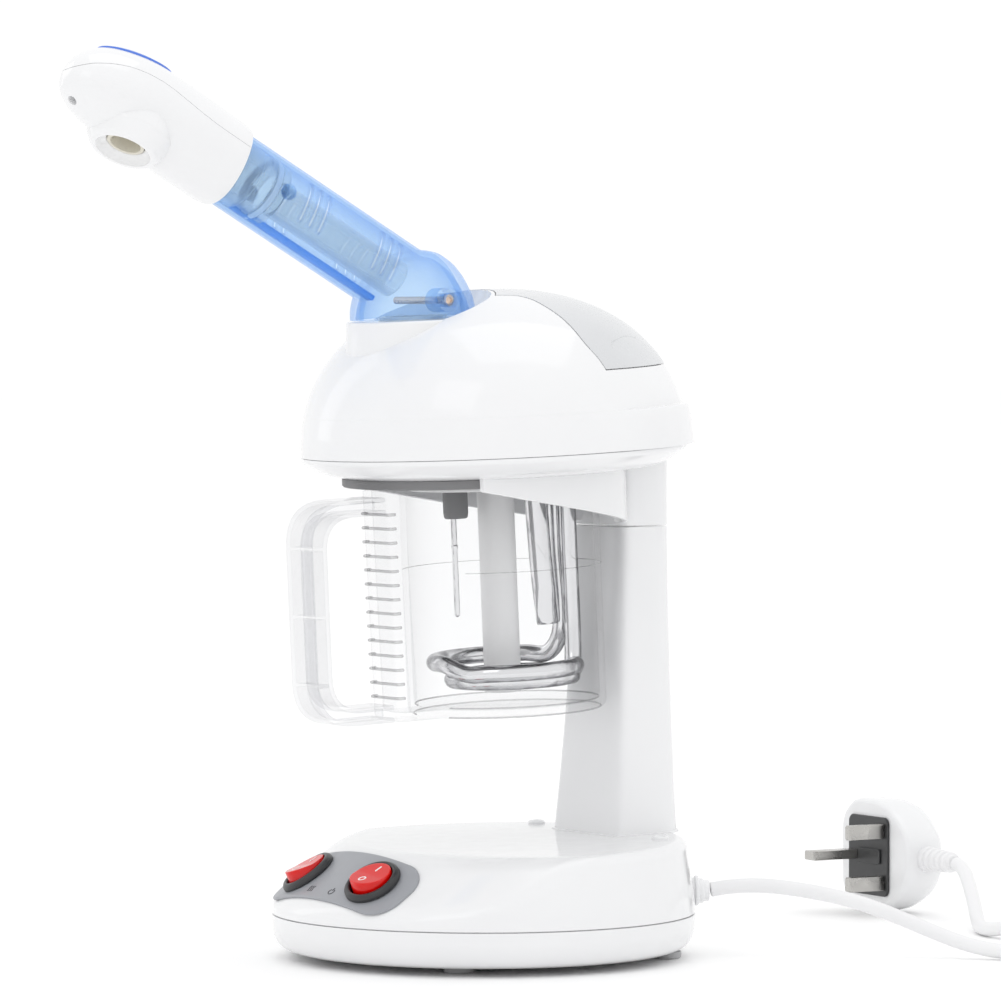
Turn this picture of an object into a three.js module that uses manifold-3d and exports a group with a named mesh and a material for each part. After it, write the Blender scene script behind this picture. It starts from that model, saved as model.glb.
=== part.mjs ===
// Table-top facial steamer: a heavy round base with a control panel, a column, a domed head with a heater
// that hangs into a clear water jar, and a swivelling steam arm with a rotating nozzle.
// Millimetres, +Z up. The front of the steamer, with its panel, jar handle and arm, faces -Y.

import * as THREE from 'three';
import { mergeVertices } from 'three/addons/utils/BufferGeometryUtils.js';
import Module from 'manifold-3d';

const wasm = await Module();
wasm.setup();

// ---- Driving dimensions -------------------------------------------------------------------------------

const ROUND = { large: 28, medium: 20, small: 12, tiny: 8 }; // sides of round pieces, by size
const GAP = 0.3; // clearance between pieces that touch
const WALL = 2.4; // thickness of the moulded casings
const TURN = Math.PI * 2;
const degrees = THREE.MathUtils.degToRad;

const BASE = { radius: 85, topRadius: 82, seam: 18, top: 46.4, topTilt: 1.4, underside: 3.1, edge: 3.5 };
const FOOT = { radius: 6, height: 2.8 };
const FEET = [[-44, -40], [44, -40], [-45, 58], [45, 58]];
const SCREW_CAP = { x: 45, y: 55 };
const WIREWAY = { y: 66, radius: 9 }; // wires rise through the column here
const PANEL = { slope: 35, bend: 140, y: -67.7, z: 35.5, halfWidth: 43, halfDepth: 14.6, thick: 0.9 };
const SWITCH = { x: 24, bezel: 11.75, bezelHeight: 2, barrel: 10.1, depth: 15, well: 9.2, wellDepth: 7.2 };
const ROCKER = { radius: 8.4, rim: 8.1, tilt: 12, valley: 5, low: -2.6, high: 4.6, pivot: -0.4 };

const COLUMN = { seam: 172, foot: 47.4, wall: 2.4 };
const HEAD = { y: 5, z: 203.5, tilt: 2.8, radius: 77.4, height: 64, power: 2.2 };
const LIP = [[77.4, -0.4], [76.6, -1.8], [73.6, -3.4], [69.6, -5.6], [65.6, -6.8], [60, -7.5]];
const CHEEK = { x: 50, thick: 2.4, front: -38.7, top: -7.9, lowFront: -13.6, slope: 12.1 };
const GASKET = { radius: 61.6, top: -8.1, bottom: -12.4, halfWidth: 48.2 };

const COLLAR = { y: -35.8, radius: 26.6, foot: 27.6, top: 53.8, bore: 14.4, recess: 27.2 };
const BELL = { radius: 25, height: 27, wall: 2.2, bottom: 54.3 };
const ARM = { y: -31.35, z: 62.4, elevation: 32.3, radius: 15.3, wall: 2, length: 99.6 };
const POD = { start: 100.4, end: 184.4, half: 17.9, width: 17.4, wall: 2 };
const NECK = { inner: 10.8, root: 80, grooveLow: 83.6, grooveHigh: 87.2 };
const SPOUT = { s: 150, lip: 12.4, drop: 20.7, bore: 7.8, sleeve: 7.3 };

const JAR = { y: 1.3, radius: 40, wall: 2.5, top: -13, bottom: -105, frontY: -57.4, frontHalf: 10.3 };
const HANDLE = { outer: -93.6, inner: -85.4, half: 9, top: -15.5, bottom: -104.5, drop: 45 };
const HEATER = { tube: 3.4, legX: 4.6, legY: 31, upper: -84.5, lower: -91.8, upperRadius: 30, lowerRadius: 27 };

const PROBE = { y: -20, radius: 1.1, bottom: -63 };

const CORD = { radius: 2.95, heading: 57, height: 25.8, glandAngle: 62 };
const COIL = { out: 258, across: 20, inner: 23.9, outer: 42.1, height: 12.2 };
const PLUG = { out: 176, across: 178, heading: -60, half: 25, thick: 21 };
// Plug pins: name, place across the face, then size along x, along y, and length.
const PINS = [
  ['earth', -13, 0, 8, 4, 22.7], ['live', 9.2, 11.1, 4, 6.35, 17.7], ['neutral', 9.2, -11.1, 4, 6.35, 17.7],
];

// ---- Finishes -----------------------------------------------------------------------------------------

function finish(color, roughness, metalness = 0, opacity = 1) {
  return new THREE.MeshStandardMaterial({ color, roughness, metalness, opacity, transparent: opacity < 1 });
}

const white = finish(0xf4f5f7, 0.25);
const clear = finish(0xeaf0f4, 0.08, 0, 0.3);
const blue = finish(0x8fb6f4, 0.2, 0, 0.6);
const panelGrey = finish(0x8d9095, 0.5);
const paleGrey = finish(0xdfe1e3, 0.3);
const darkGrey = finish(0x4a4d52, 0.5);
const black = finish(0x18191b, 0.4);
const red = finish(0xd01822, 0.15);
const steel = finish(0xb9bcc0, 0.22, 1);
const brass = finish(0xb59a5a, 0.35, 1);
const silicone = finish(0xe9eaea, 0.5);
const cream = finish(0xd9d6c8, 0.5);
const rubber = finish(0x77797c, 0.8);
const green = finish(0x2f6b45, 0.6);

// ---- Solid modelling helpers --------------------------------------------------------------------------

// Closed solid from a geometry, with its faces turned outwards.
function solid(geometry) {
  const bare = geometry.index ? geometry.toNonIndexed() : geometry.clone();
  for (const name of Object.keys(bare.attributes)) {
    if (name !== 'position') bare.deleteAttribute(name);
  }
  const merged = mergeVertices(bare, 1e-4);
  const corners = [];
  const index = merged.index.array;
  for (let i = 0; i < index.length; i += 3) {
    const [a, b, c] = [index[i], index[i + 1], index[i + 2]];
    if (a !== b && b !== c && c !== a) corners.push(a, b, c);
  }
  if (signedVolume(merged.attributes.position, corners) < 0) corners.reverse();
  return new wasm.Manifold(new wasm.Mesh({
    numProp: 3,
    vertProperties: new Float32Array(merged.attributes.position.array),
    triVerts: new Uint32Array(corners),
  }));
}

function signedVolume(position, corners) {
  const [a, b, c] = [new THREE.Vector3(), new THREE.Vector3(), new THREE.Vector3()];
  let volume = 0;
  for (let i = 0; i < corners.length; i += 3) {
    a.fromBufferAttribute(position, corners[i]);
    b.fromBufferAttribute(position, corners[i + 1]);
    c.fromBufferAttribute(position, corners[i + 2]);
    volume += a.dot(b.cross(c));
  }
  return volume;
}

function surface(manifold) {
  const mesh = manifold.getMesh();
  const geometry = new THREE.BufferGeometry();
  geometry.setAttribute('position', new THREE.BufferAttribute(mesh.vertProperties, mesh.numProp));
  geometry.setIndex(new THREE.BufferAttribute(mesh.triVerts, 1));
  geometry.computeVertexNormals();
  return geometry;
}

const cut = (body, ...tools) => tools.reduce((rest, tool) => rest.subtract(tool), body);
const join = (body, ...others) => others.reduce((whole, other) => whole.add(other), body);

// A geometry turned about X, then Y, then Z (degrees) and moved.
function place(geometry, move = [0, 0, 0], turn = [0, 0, 0]) {
  const rotation = new THREE.Euler(...turn.map(degrees), 'ZYX');
  const matrix = new THREE.Matrix4().makeRotationFromEuler(rotation);
  matrix.setPosition(...move);
  return geometry.applyMatrix4(matrix);
}

// Solid of revolution about Z; profile points are [radius, height].
function revolve(profile, segments = ROUND.medium) {
  const points = profile.map(([r, z]) => new THREE.Vector2(r, z));
  return new THREE.LatheGeometry(points, segments).rotateX(Math.PI / 2);
}

const disc = (radius, low, high, segments = ROUND.small) =>
  revolve([[0, low], [radius, low], [radius, high], [0, high]], segments);
const ring = (inner, outer, low, high, segments = ROUND.small) =>
  revolve([[inner, low], [outer, low], [outer, high], [inner, high], [inner, low]], segments);

function box(size, centre) {
  return new THREE.BoxGeometry(...size).translate(...centre);
}

// Prism of a flat outline given as [x, y] points, from z = low to z = high.
function prism(outline, low, high, holes = []) {
  const shape = new THREE.Shape(outline.map(([x, y]) => new THREE.Vector2(x, y)));
  shape.holes = holes.map((hole) => new THREE.Path(hole.map(([x, y]) => new THREE.Vector2(x, y))));
  const depth = high - low;
  return new THREE.ExtrudeGeometry(shape, { depth, bevelEnabled: false }).translate(0, 0, low);
}

// Rectangle outline with round corners, centred on (x, y).
function roundedOutline(halfWidth, halfHeight, radius, x = 0, y = 0, steps = 5) {
  const points = [];
  for (let corner = 0; corner < 4; corner += 1) {
    const sideX = corner === 0 || corner === 3 ? 1 : -1;
    const sideY = corner < 2 ? 1 : -1;
    for (let step = 0; step <= steps; step += 1) {
      const angle = (corner + step / steps) * Math.PI / 2;
      points.push([
        x + sideX * (halfWidth - radius) + radius * Math.cos(angle),
        y + sideY * (halfHeight - radius) + radius * Math.sin(angle),
      ]);
    }
  }
  return points;
}

// Closed skin through rings of equal point count: capped at both ends, or joined end to end.
function skin(rings, endToEnd = false) {
  const count = rings[0].length;
  const positions = rings.flat(2);
  const index = [];
  const spans = endToEnd ? rings.length : rings.length - 1;
  for (let row = 0; row < spans; row += 1) {
    const next = (row + 1) % rings.length;
    for (let i = 0; i < count; i += 1) {
      const j = (i + 1) % count;
      const [a, b, c, d] = [row * count + i, row * count + j, next * count + j, next * count + i];
      index.push(a, b, c, a, c, d);
    }
  }
  if (!endToEnd) {
    const last = (rings.length - 1) * count;
    for (const [start, flip] of [[0, true], [last, false]]) {
      const centre = positions.length / 3;
      const end = rings[start / count];
      for (let axis = 0; axis < 3; axis += 1) {
        positions.push(end.reduce((sum, point) => sum + point[axis], 0) / count);
      }
      for (let i = 0; i < count; i += 1) {
        const j = (i + 1) % count;
        index.push(centre, start + (flip ? j : i), start + (flip ? i : j));
      }
    }
  }
  const geometry = new THREE.BufferGeometry();
  geometry.setAttribute('position', new THREE.Float32BufferAttribute(positions, 3));
  geometry.setIndex(index);
  return geometry;
}

// Round rod along a smooth curve.
function rod(points, radius, steps, sides = 12) {
  const places = points.map((point) => new THREE.Vector3(...point));
  const curve = new THREE.CatmullRomCurve3(places, false, 'centripetal');
  const section = new THREE.Shape();
  for (let side = 0; side < sides; side += 1) {
    const angle = (side / sides) * TURN;
    const [x, y] = [radius * Math.cos(angle), radius * Math.sin(angle)];
    if (side === 0) section.moveTo(x, y);
    else section.lineTo(x, y);
  }
  section.closePath();
  return new THREE.ExtrudeGeometry(section, { steps, bevelEnabled: false, extrudePath: curve });
}

// ---- Groups -------------------------------------------------------------------------------------------

const steamer = new THREE.Group();
const head = new THREE.Group();
head.position.set(0, HEAD.y, HEAD.z);
head.rotation.x = degrees(HEAD.tilt);
steamer.add(head);
head.updateMatrix();

// The arm's own frame: z runs out along the tube, y is up and across it.
const arm = new THREE.Group();
arm.position.set(0, ARM.y, ARM.z);
arm.rotation.x = degrees(90 - ARM.elevation);
head.add(arm);
arm.updateMatrix();

function node(name, geometry, material, parent = steamer) {
  const shape = geometry.isBufferGeometry ? surface(solid(geometry)) : surface(geometry);
  const mesh = new THREE.Mesh(shape, material);
  mesh.name = name;
  parent.add(mesh);
  return mesh;
}

// ---- Base ---------------------------------------------------------------------------------------------

// The sloped panel face is part of a cylinder whose axis runs down the slope.
const slope = degrees(PANEL.slope);
function slopeCylinder(radius) {
  const cylinder = new THREE.CylinderGeometry(radius, radius, 500, 2 * ROUND.large);
  const centre = [0, PANEL.y + PANEL.bend * Math.sin(slope), PANEL.z - PANEL.bend * Math.cos(slope)];
  return solid(place(cylinder, centre, [PANEL.slope, 0, 0]));
}

// Moves a shape made around Z so that Z stands square on the panel at sideways place x.
function onPanel(geometry, x = 0, lift = 0, turn = 0) {
  const swing = Math.asin(x / PANEL.bend);
  const around = new THREE.Matrix4().makeTranslation(0, 0, PANEL.bend + lift);
  around.premultiply(new THREE.Matrix4().makeRotationY(swing));
  around.multiply(new THREE.Matrix4().makeRotationX(degrees(turn)));
  around.premultiply(new THREE.Matrix4().makeTranslation(0, 0, -PANEL.bend));
  around.premultiply(new THREE.Matrix4().makeRotationX(slope));
  around.premultiply(new THREE.Matrix4().makeTranslation(0, PANEL.y, PANEL.z));
  return geometry.applyMatrix4(around);
}

// Everything between two heights over the base's slightly tilted top.
function aboveBaseTop(low, high) {
  const slab = box([300, 300, high - low], [0, 0, (low + high) / 2]);
  return solid(place(slab, [0, 0, BASE.top], [BASE.topTilt, 0, 0]));
}

const switchHoles = () =>
  [-1, 1].map((side) => solid(onPanel(disc(SWITCH.barrel + 0.4, -12, 8), side * SWITCH.x)));

function baseOuter(inset) {
  const [wide, narrow, edge] = [BASE.radius - inset, BASE.topRadius - inset, BASE.edge];
  const profile = [[0, BASE.seam + 0.2], [wide, BASE.seam + 0.2], [wide - 0.5, BASE.seam + 8]];
  for (let step = 0; step <= 4; step += 1) {
    const angle = (step / 4) * Math.PI / 2;
    profile.push([narrow - edge + edge * Math.cos(angle), BASE.top - edge - inset + edge * Math.sin(angle)]);
  }
  profile.push([0, BASE.top - inset]);
  return profile;
}

function makeBase() {
  const rounded = [...baseOuter(0).slice(0, -1), [0, BASE.top + 3]];
  const hollow = baseOuter(WALL).map(([r, z]) => [r, z < BASE.seam + 1 ? BASE.seam - 2 : z]);
  const outer = solid(revolve(rounded, ROUND.large)).intersect(slopeCylinder(PANEL.bend));
  const inner = solid(revolve(hollow, ROUND.large)).intersect(slopeCylinder(PANEL.bend - WALL));
  const glandHole = solid(glandPart(disc(5.4, 70, 95)));
  const wireHole = solid(disc(6, 30, 60).translate(0, WIREWAY.y, 0));
  node('base_shell', cut(outer, aboveBaseTop(0, 60), inner, ...switchHoles(), glandHole, wireHole), white);

  const rim = BASE.underside;
  const trayProfile = [[0, rim], [BASE.radius - 7, rim]];
  for (let step = 1; step <= 3; step += 1) {
    const angle = (step / 3) * Math.PI / 2;
    trayProfile.push([BASE.radius - 7 + 7 * Math.sin(angle), rim + 8 - 8 * Math.cos(angle)]);
  }
  trayProfile.push([BASE.radius, BASE.seam - 0.1], [BASE.radius - WALL, BASE.seam - 0.1]);
  trayProfile.push([BASE.radius - WALL, rim + 8], [BASE.radius - 9, rim + WALL], [0, rim + WALL]);
  node('base_tray', revolve(trayProfile, ROUND.large), white);

  const { radius, height } = FOOT;
  FEET.forEach(([x, y], i) => {
    const foot = revolve([[0, 0], [radius - 0.8, 0], [radius, 0.8], [radius, height], [0, height]], ROUND.small);
    node(`foot_${i + 1}`, foot.translate(x, y, 0), rubber);
  });
  for (const [side, name] of [[-1, 'left'], [1, 'right']]) {
    const cap = revolve([[0, 0.35], [3.4, 0.35], [3.4, 1], [2.6, 1.5], [0, 1.6]], ROUND.small);
    place(cap, [side * SCREW_CAP.x, SCREW_CAP.y, BASE.top + SCREW_CAP.y * Math.tan(degrees(BASE.topTilt))]);
    node(`screw_cap_${name}`, cap, paleGrey);
  }
  const floor = rim + WALL + GAP;
  const [board, onBoard] = [20, 20.8 + GAP];
  node('ballast_plate', disc(58, floor, floor + 5, ROUND.medium), steel);
  node('control_board', box([74, 40, 1.6], [0, -8, board]), green);
  node('ozone_transformer', box([24, 20, 17], [-20, -8, onBoard + 8.5]), black);
  node('terminal_block', box([26, 12, 10], [20, 2, onBoard + 5]), paleGrey);
}

function makePanel() {
  const outline = solid(onPanel(prism(roundedOutline(PANEL.halfWidth, PANEL.halfDepth, 11.5), -16, 10)));
  const under = PANEL.bend + 0.15;
  const sheet = cut(slopeCylinder(under + PANEL.thick), slopeCylinder(under));
  node('control_panel', cut(sheet.intersect(outline), ...switchHoles()), panelGrey);

  const lift = PANEL.thick + 0.9;
  const { bezel, bezelHeight, barrel, depth, well, wellDepth } = SWITCH;
  for (const [side, name] of [[-1, 'ozone'], [1, 'power']]) {
    const body = revolve([
      [0, -depth], [barrel, -depth], [barrel, 0], [bezel, 0], [bezel, bezelHeight - 0.8],
      [bezel - 0.8, bezelHeight], [well + 0.3, bezelHeight], [well, bezelHeight - 0.4],
      [well, bezelHeight - wellDepth], [0, bezelHeight - wellDepth],
    ]);
    node(`${name}_switch`, onPanel(body, side * SWITCH.x, lift), black);
    node(`${name}_rocker`, onPanel(rockerShape(), side * SWITCH.x, lift + ROCKER.pivot, -ROCKER.tilt), red);
  }
}

// Round see-saw button with a shallow valley across its top.
function rockerShape() {
  const { radius, rim, low, high } = ROCKER;
  const profile = [[0, low], [radius, low], [radius, high - 2.6], [rim, high], [0, high]];
  const valleys = [-1, 1].map((side) => {
    const half = box([30, 20, 10], [0, side * 10, 5]);
    return solid(place(half, [0, 0, high - 0.7], [side * ROCKER.valley, 0, 0]));
  });
  return surface(cut(solid(revolve(profile)), ...valleys));
}

// ---- Column -------------------------------------------------------------------------------------------

// Column section at height z: flat front, round back; grow shifts the outline outwards.
function columnSection(z, grow) {
  const t = THREE.MathUtils.clamp((z - COLUMN.foot) / (COLUMN.seam - COLUMN.foot), 0, 1);
  const flare = (1 - t) ** 2;
  const half = 18.2 + (1 - t) + 4.3 * flare + grow;
  const front = 55.7 - 4 * (1 - t) - 3.3 * flare - grow;
  const rear = 78 + 2 * (1 - t) + 4 * flare + grow;
  const middle = front + 10;
  const points = [];
  for (let i = 0; i < 24; i += 1) {
    const angle = (i / 24) * TURN;
    const [cos, sin] = [Math.cos(angle), Math.sin(angle)];
    const power = sin < 0 ? 2 / 7 : 2 / 2.5;
    const depth = sin < 0 ? middle - front : rear - middle;
    const x = half * Math.sign(cos) * Math.abs(cos) ** power;
    points.push([x, middle + depth * Math.sign(sin) * Math.abs(sin) ** power, z]);
  }
  return points;
}

function makeColumn() {
  const heights = [BASE.top - 2, 60, 78, 105, COLUMN.seam - 0.15];
  const outer = heights.map((z) => columnSection(z, 0));
  const inner = heights.map((z) => columnSection(z, -COLUMN.wall));
  node('column_lower', cut(solid(skin([...outer, ...inner.reverse()], true)), aboveBaseTop(-60, GAP)), white);
}

// ---- Head ---------------------------------------------------------------------------------------------

function domeProfile(offset) {
  const [radius, height, power] = [HEAD.radius + offset, HEAD.height + offset, 2 / HEAD.power];
  const profile = [[0, 0]];
  for (let step = 0; step <= 8; step += 1) {
    const angle = (step / 8) * Math.PI / 2;
    profile.push([radius * Math.cos(angle) ** power, height * Math.sin(angle) ** power]);
  }
  profile[profile.length - 1][0] = 0;
  return profile;
}

const atCollar = (geometry) => solid(geometry.translate(0, COLLAR.y, 0));

// Plan outline of the panel let into the rear half of the dome.
const REAR_PANEL_EDGE = [[15, -19], [21, -9], [27, -2], [40, 1.2], [58, 4], [68, 7], [90, 14], [90, 90]];

function rearPanelRegion(shrink) {
  const right = REAR_PANEL_EDGE.map(([x, y]) => [x + shrink * 0.4, y + shrink]);
  const left = right.map(([x, y]) => [-x, y]).reverse();
  const region = solid(prism([...right, ...left], 31.6 + shrink, 90));
  return cut(region, atCollar(disc(COLLAR.recess + 1.4 + shrink, 20, 90, ROUND.large)));
}

function makeDome() {
  const shell = solid(revolve(domeProfile(0), ROUND.large));
  const { radius, foot, top, recess, bore } = COLLAR;
  const collarProfile = [[0, 28], [foot, 28], [foot, 36], [radius, top - 1], [radius - 0.8, top], [0, top]];
  const collar = atCollar(revolve(collarProfile, ROUND.large));
  const turretRoom = atCollar(disc(recess, top, 90, ROUND.large));
  const floor = atCollar(disc(recess + WALL, top - WALL, 90, ROUND.large));
  const hollow = domeProfile(-WALL).map(([r, z], i) => [r, i < 2 ? -3 : z]);
  const cavity = cut(solid(revolve(hollow, ROUND.large)), floor);
  const collarCavity = atCollar(disc(radius - WALL, 20, top - WALL, ROUND.medium));
  const boreHole = atCollar(disc(bore, 40, 60, ROUND.medium));
  const panelPocket = cut(rearPanelRegion(0), solid(revolve(domeProfile(-1.5), ROUND.large)));
  const dome = cut(join(shell, collar), turretRoom, cavity, collarCavity, boreHole, panelPocket);
  node('head_dome', dome, white, head);

  const panel = cut(solid(revolve(domeProfile(0), ROUND.large)), solid(revolve(domeProfile(-1.1), ROUND.large)));
  node('rear_panel', panel.intersect(rearPanelRegion(GAP)), paleGrey, head);
}

// Vertical holes through the parts under the head: [x, y, radius].
const HEAD_PORTS = [
  [-HEATER.legX, HEATER.legY, HEATER.tube + 0.4], [HEATER.legX, HEATER.legY, HEATER.tube + 0.4],
  [0, 18.5, 6.3], [0, JAR.y, 7.3], [0, PROBE.y, 5.4], [0, COLLAR.y, 8.4],
];
const portHoles = () => HEAD_PORTS.map(([x, y, r]) => solid(disc(r, -30, 5).translate(x, y, 0)));

function makeHeadUnderside() {
  const inner = [[60, LIP[5][1] + WALL], [66, -4.2], [70.5, -2.6], [74.6, -0.4]];
  const tray = [[0, LIP[5][1]], ...[...LIP].reverse(), ...inner.reverse(), [0, LIP[5][1] + WALL]];
  node('head_tray', cut(solid(revolve(tray, ROUND.large)), ...portHoles()), white, head);

  const { radius, bottom, top, halfWidth } = GASKET;
  const inCheeks = CHEEK.x - CHEEK.thick / 2 - 0.5;
  const slab = solid(disc(radius, bottom, top, ROUND.large));
  const rear = slab.intersect(solid(disc(inCheeks, bottom, top, ROUND.large).translate(0, JAR.y, 0)));
  const front = slab.intersect(solid(box([2 * halfWidth, 100, 40], [0, JAR.y - 50, 0])));
  node('gasket_plate', cut(join(front, rear), ...portHoles()), darkGrey, head);
}

function makeCradle() {
  const toRow = head.matrix;
  const [outer, inner] = [CHEEK.x + CHEEK.thick / 2, CHEEK.x - CHEEK.thick / 2];
  const uShape = (radius) => {
    const back = arcPoints(0, JAR.y, radius, radius, 0, 180, 16);
    return [[radius, CHEEK.front], ...back, [-radius, CHEEK.front]];
  };
  const wall = cut(
    solid(prism(uShape(outer), -60, CHEEK.top)),
    solid(prism(uShape(inner).map(([x, y]) => [x, y < CHEEK.front + 1 ? y - 5 : y]), -70, 5)),
  );
  const slab = box([200, 300, 80], [0, 0, -40]);
  const below = solid(place(slab, [0, CHEEK.front, CHEEK.lowFront], [-CHEEK.slope, 0, 0]));
  const cheeks = cut(wall, below).transform(toRow.toArray());

  const heights = [COLUMN.seam + 0.15, 216];
  const outerRings = heights.map((z) => columnSection(COLUMN.seam, 0).map(([x, y]) => [x, y, z]));
  const innerRings = heights.map((z) => columnSection(COLUMN.seam, -COLUMN.wall).map(([x, y]) => [x, y, z]));
  const belowLip = LIP.map(([r, z]) => [r + 0.2, z - 0.4]).reverse();
  const lipProfile = [[0, CHEEK.top], ...belowLip, [79, 0], [79, 60], [0, 60]];
  const lipRoom = solid(revolve(lipProfile, ROUND.large)).transform(toRow.toArray());
  const jarSpace = disc(inner, -60, CHEEK.top + 5, ROUND.large).translate(0, JAR.y, 0);
  const jarRoom = solid(jarSpace).transform(toRow.toArray());
  const stub = cut(solid(skin([...outerRings, ...innerRings.reverse()], true)), lipRoom, jarRoom);
  const wireway = solid(disc(WIREWAY.radius, COLUMN.seam - 20, 240).translate(0, WIREWAY.y, 0));
  node('jar_cradle', join(cut(cheeks, wireway), stub), white);
}

// ---- Heater and sensors that hang into the jar ----------------------------------------------------------

function heaterPath() {
  const { legX, legY, upper, lower, upperRadius, lowerRadius } = HEATER;
  const points = [[-legX, legY, 4], [-legX, legY, -40], [-legX, legY, upper + 8]];
  const turn = (radius, z, from, to, steps) => {
    for (let step = 0; step <= steps; step += 1) {
      const angle = degrees(from + (to - from) * step / steps);
      points.push([radius * Math.sin(angle) * 0.93, JAR.y + radius * Math.cos(angle), z]);
    }
  };
  turn(upperRadius - 2, upper, -22, -180, 8);
  turn(upperRadius - 3, (upper + lower) / 2, -202, -330, 5);
  turn(lowerRadius, lower, -350, -520, 6);
  turn(lowerRadius - 0.5, lower, -540, -698, 6);
  points.push([legX, legY, lower + 9], [legX, legY, -40], [legX, legY, 4]);
  return points;
}

function makeHeater() {
  node('heater_coil', rod(heaterPath(), HEATER.tube, 52, 8), steel, head);
  const well = skin([3.2, 3, -60, -72].map((z, i) => {
    const [a, b, back] = [[5, 5, 18.5], [5, 5, 18.5], [4.9, 4.4, 21.2], [5.2, 2, 22.2]][i];
    return Array.from({ length: 16 }, (_, k) => {
      const angle = (k / 16) * TURN;
      return [a * Math.cos(angle), back + b * Math.sin(angle), z];
    });
  }));
  node('thermostat_well', well, steel, head);
  node('water_pipe', ring(5.2, 6.9, -97.4, 3).translate(0, JAR.y, 0), silicone, head);
  const boss = revolve([[1.5, 2], [5, 2], [5, -20], [4.4, -22.6], [1.5, -22.6], [1.5, 2]], ROUND.small);
  node('probe_boss', boss.translate(0, PROBE.y, 0), darkGrey, head);
  node('level_probe', disc(PROBE.radius, PROBE.bottom, 6).translate(0, PROBE.y, 0), steel, head);
  const seal = ring(34.6, 36.6, -15, GASKET.bottom - GAP, ROUND.large);
  node('jar_seal', seal.translate(0, JAR.y, 0), silicone, head);
}

function makeInnerHead() {
  node('steam_duct', ring(6.2, 7.8, -9, 48).translate(0, COLLAR.y, 0), silicone, head);
  node('lamp_holder', ring(5, 9, 4, 16).translate(24, 2, 0), darkGrey, head);
  node('ozone_lamp', disc(4.4, 8, 44).translate(24, 2, 0), clear, head);
  node('thermal_cutout', disc(8, -4.6, 4).translate(-24, 14, 0), darkGrey, head);
}

// ---- Elbow arm: turret bell and tube, split into a left and a right half shell ---------------------------

const inArm = (geometry) => solid(geometry.applyMatrix4(arm.matrix));

function bellProfile(inset) {
  const [radius, height] = [BELL.radius - inset, BELL.height - inset];
  const profile = [[0, 0]];
  for (let step = 0; step <= 6; step += 1) {
    const angle = (step / 6) * Math.PI / 2;
    profile.push([radius * Math.cos(angle) ** 0.92, height * Math.sin(angle)]);
  }
  profile[profile.length - 1][0] = 0;
  return profile.map(([r, z], i) => [r, (inset && i < 2 ? -2 : z) + BELL.bottom]);
}

const SLOTS = [71.5, 66.7, 62, 33.9, 29.2, 24.5];

function makeElbow() {
  const tube = inArm(disc(ARM.radius, 4, ARM.length, ROUND.medium));
  const outer = join(atCollar(revolve(bellProfile(0), ROUND.large)), tube);
  const collarRoom = solid(box([200, 200, 40], [0, 0, BELL.bottom - 20]));
  const tubeBore = inArm(disc(ARM.radius - ARM.wall, 6, ARM.length + 5, ROUND.medium));
  const inner = join(atCollar(revolve(bellProfile(BELL.wall), ROUND.large)), tubeBore);
  const slots = SLOTS.map((s) => inArm(box([60, 16, 1.7], [0, 0, s])));
  const shell = cut(outer, collarRoom, inner, ...slots);
  const screwRoom = alongScrew(disc(2.6, -40, 40, ROUND.tiny));
  for (const [side, name] of [[-1, 'left'], [1, 'right']]) {
    const half = solid(box([100, 300, 300], [side * 50.15, -80, 80]));
    const [low, high] = side > 0 ? [0.2, 22.6] : [-22.6, -0.2];
    const boss = cut(alongScrew(ring(2.7, 5.2, low, high)), collarRoom);
    const trimmed = boss.intersect(atCollar(revolve(bellProfile(1), ROUND.large)));
    node(`arm_half_${name}`, cut(join(shell.intersect(half), trimmed), screwRoom), blue, head);
  }
  const screw = [[0, -17], [1.5, -17], [1.5, 21.4], [2.3, 21.4], [2.3, 23], [1.4, 23.6], [0, 23.6]];
  node('arm_screw', alongScrew(revolve(screw, ROUND.tiny)), steel, head);
  const top = BELL.bottom + 1;
  const flanged = [[11.2, 44], [16.4, 44], [16.4, 45.6], [13.6, 45.6], [13.6, top], [11.2, top], [11.2, 44]];
  node('turret_ring', atCollar(revolve(flanged)), paleGrey, head);
}

// A shape made around Z, laid along X through the arm screw.
const alongScrew = (geometry) => solid(place(geometry, [0, COLLAR.y + 3.3, COLLAR.top + 7.4], [0, 90, 0]));

// ---- Nozzle ---------------------------------------------------------------------------------------------

// Pod section at distance s from the arm's root, grown outwards by grow.
function podSection(s, grow) {
  const rear = Math.min(1, (s - POD.start + 1.2) / 8);
  const start = 15.7 + (POD.half - 15.7) * Math.sqrt(1 - (1 - rear) ** 2);
  const fade = (from, power) => {
    const t = THREE.MathUtils.clamp((s - from) / (POD.end - from), 0, 1);
    return (1 - t ** power) ** (1 / power);
  };
  const middle = -4 * THREE.MathUtils.smoothstep(s, 140, POD.end);
  const top = (s < 146 ? start : (POD.half + 4) * fade(146, 2.1) - 4) + grow;
  const bottom = (s < 150 ? -start : -4 - (POD.half - 4) * fade(150, 2.4)) - grow;
  const width = (s < 146 ? Math.min(start, POD.width) : POD.width * fade(146, 2.3)) + grow;
  return Array.from({ length: ROUND.medium }, (_, i) => {
    const angle = (i / ROUND.medium) * TURN;
    const [cos, sin] = [Math.cos(angle), Math.sin(angle)];
    const reach = sin > 0 ? top - middle : middle - bottom;
    return [width * cos, middle + reach * sin, s];
  });
}

function podSolid(inset) {
  const [from, to] = [POD.start + (inset > 0 ? WALL : inset), POD.end - inset];
  const stops = [0, 0.04, 0.1, 0.54, 0.7, 0.82, 0.91, 0.97, 0.996];
  return solid(skin(stops.map((stop) => podSection(from + (to - from) * stop, -inset))));
}

// Side outline of the parting line between the pod's two shells, as [s, height].
const PARTING = [[90, 3.6], [124, 3.8], [150, 6.4], [165, 4.6], [177, 0], [184, -4.2], [200, -9]];

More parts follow.
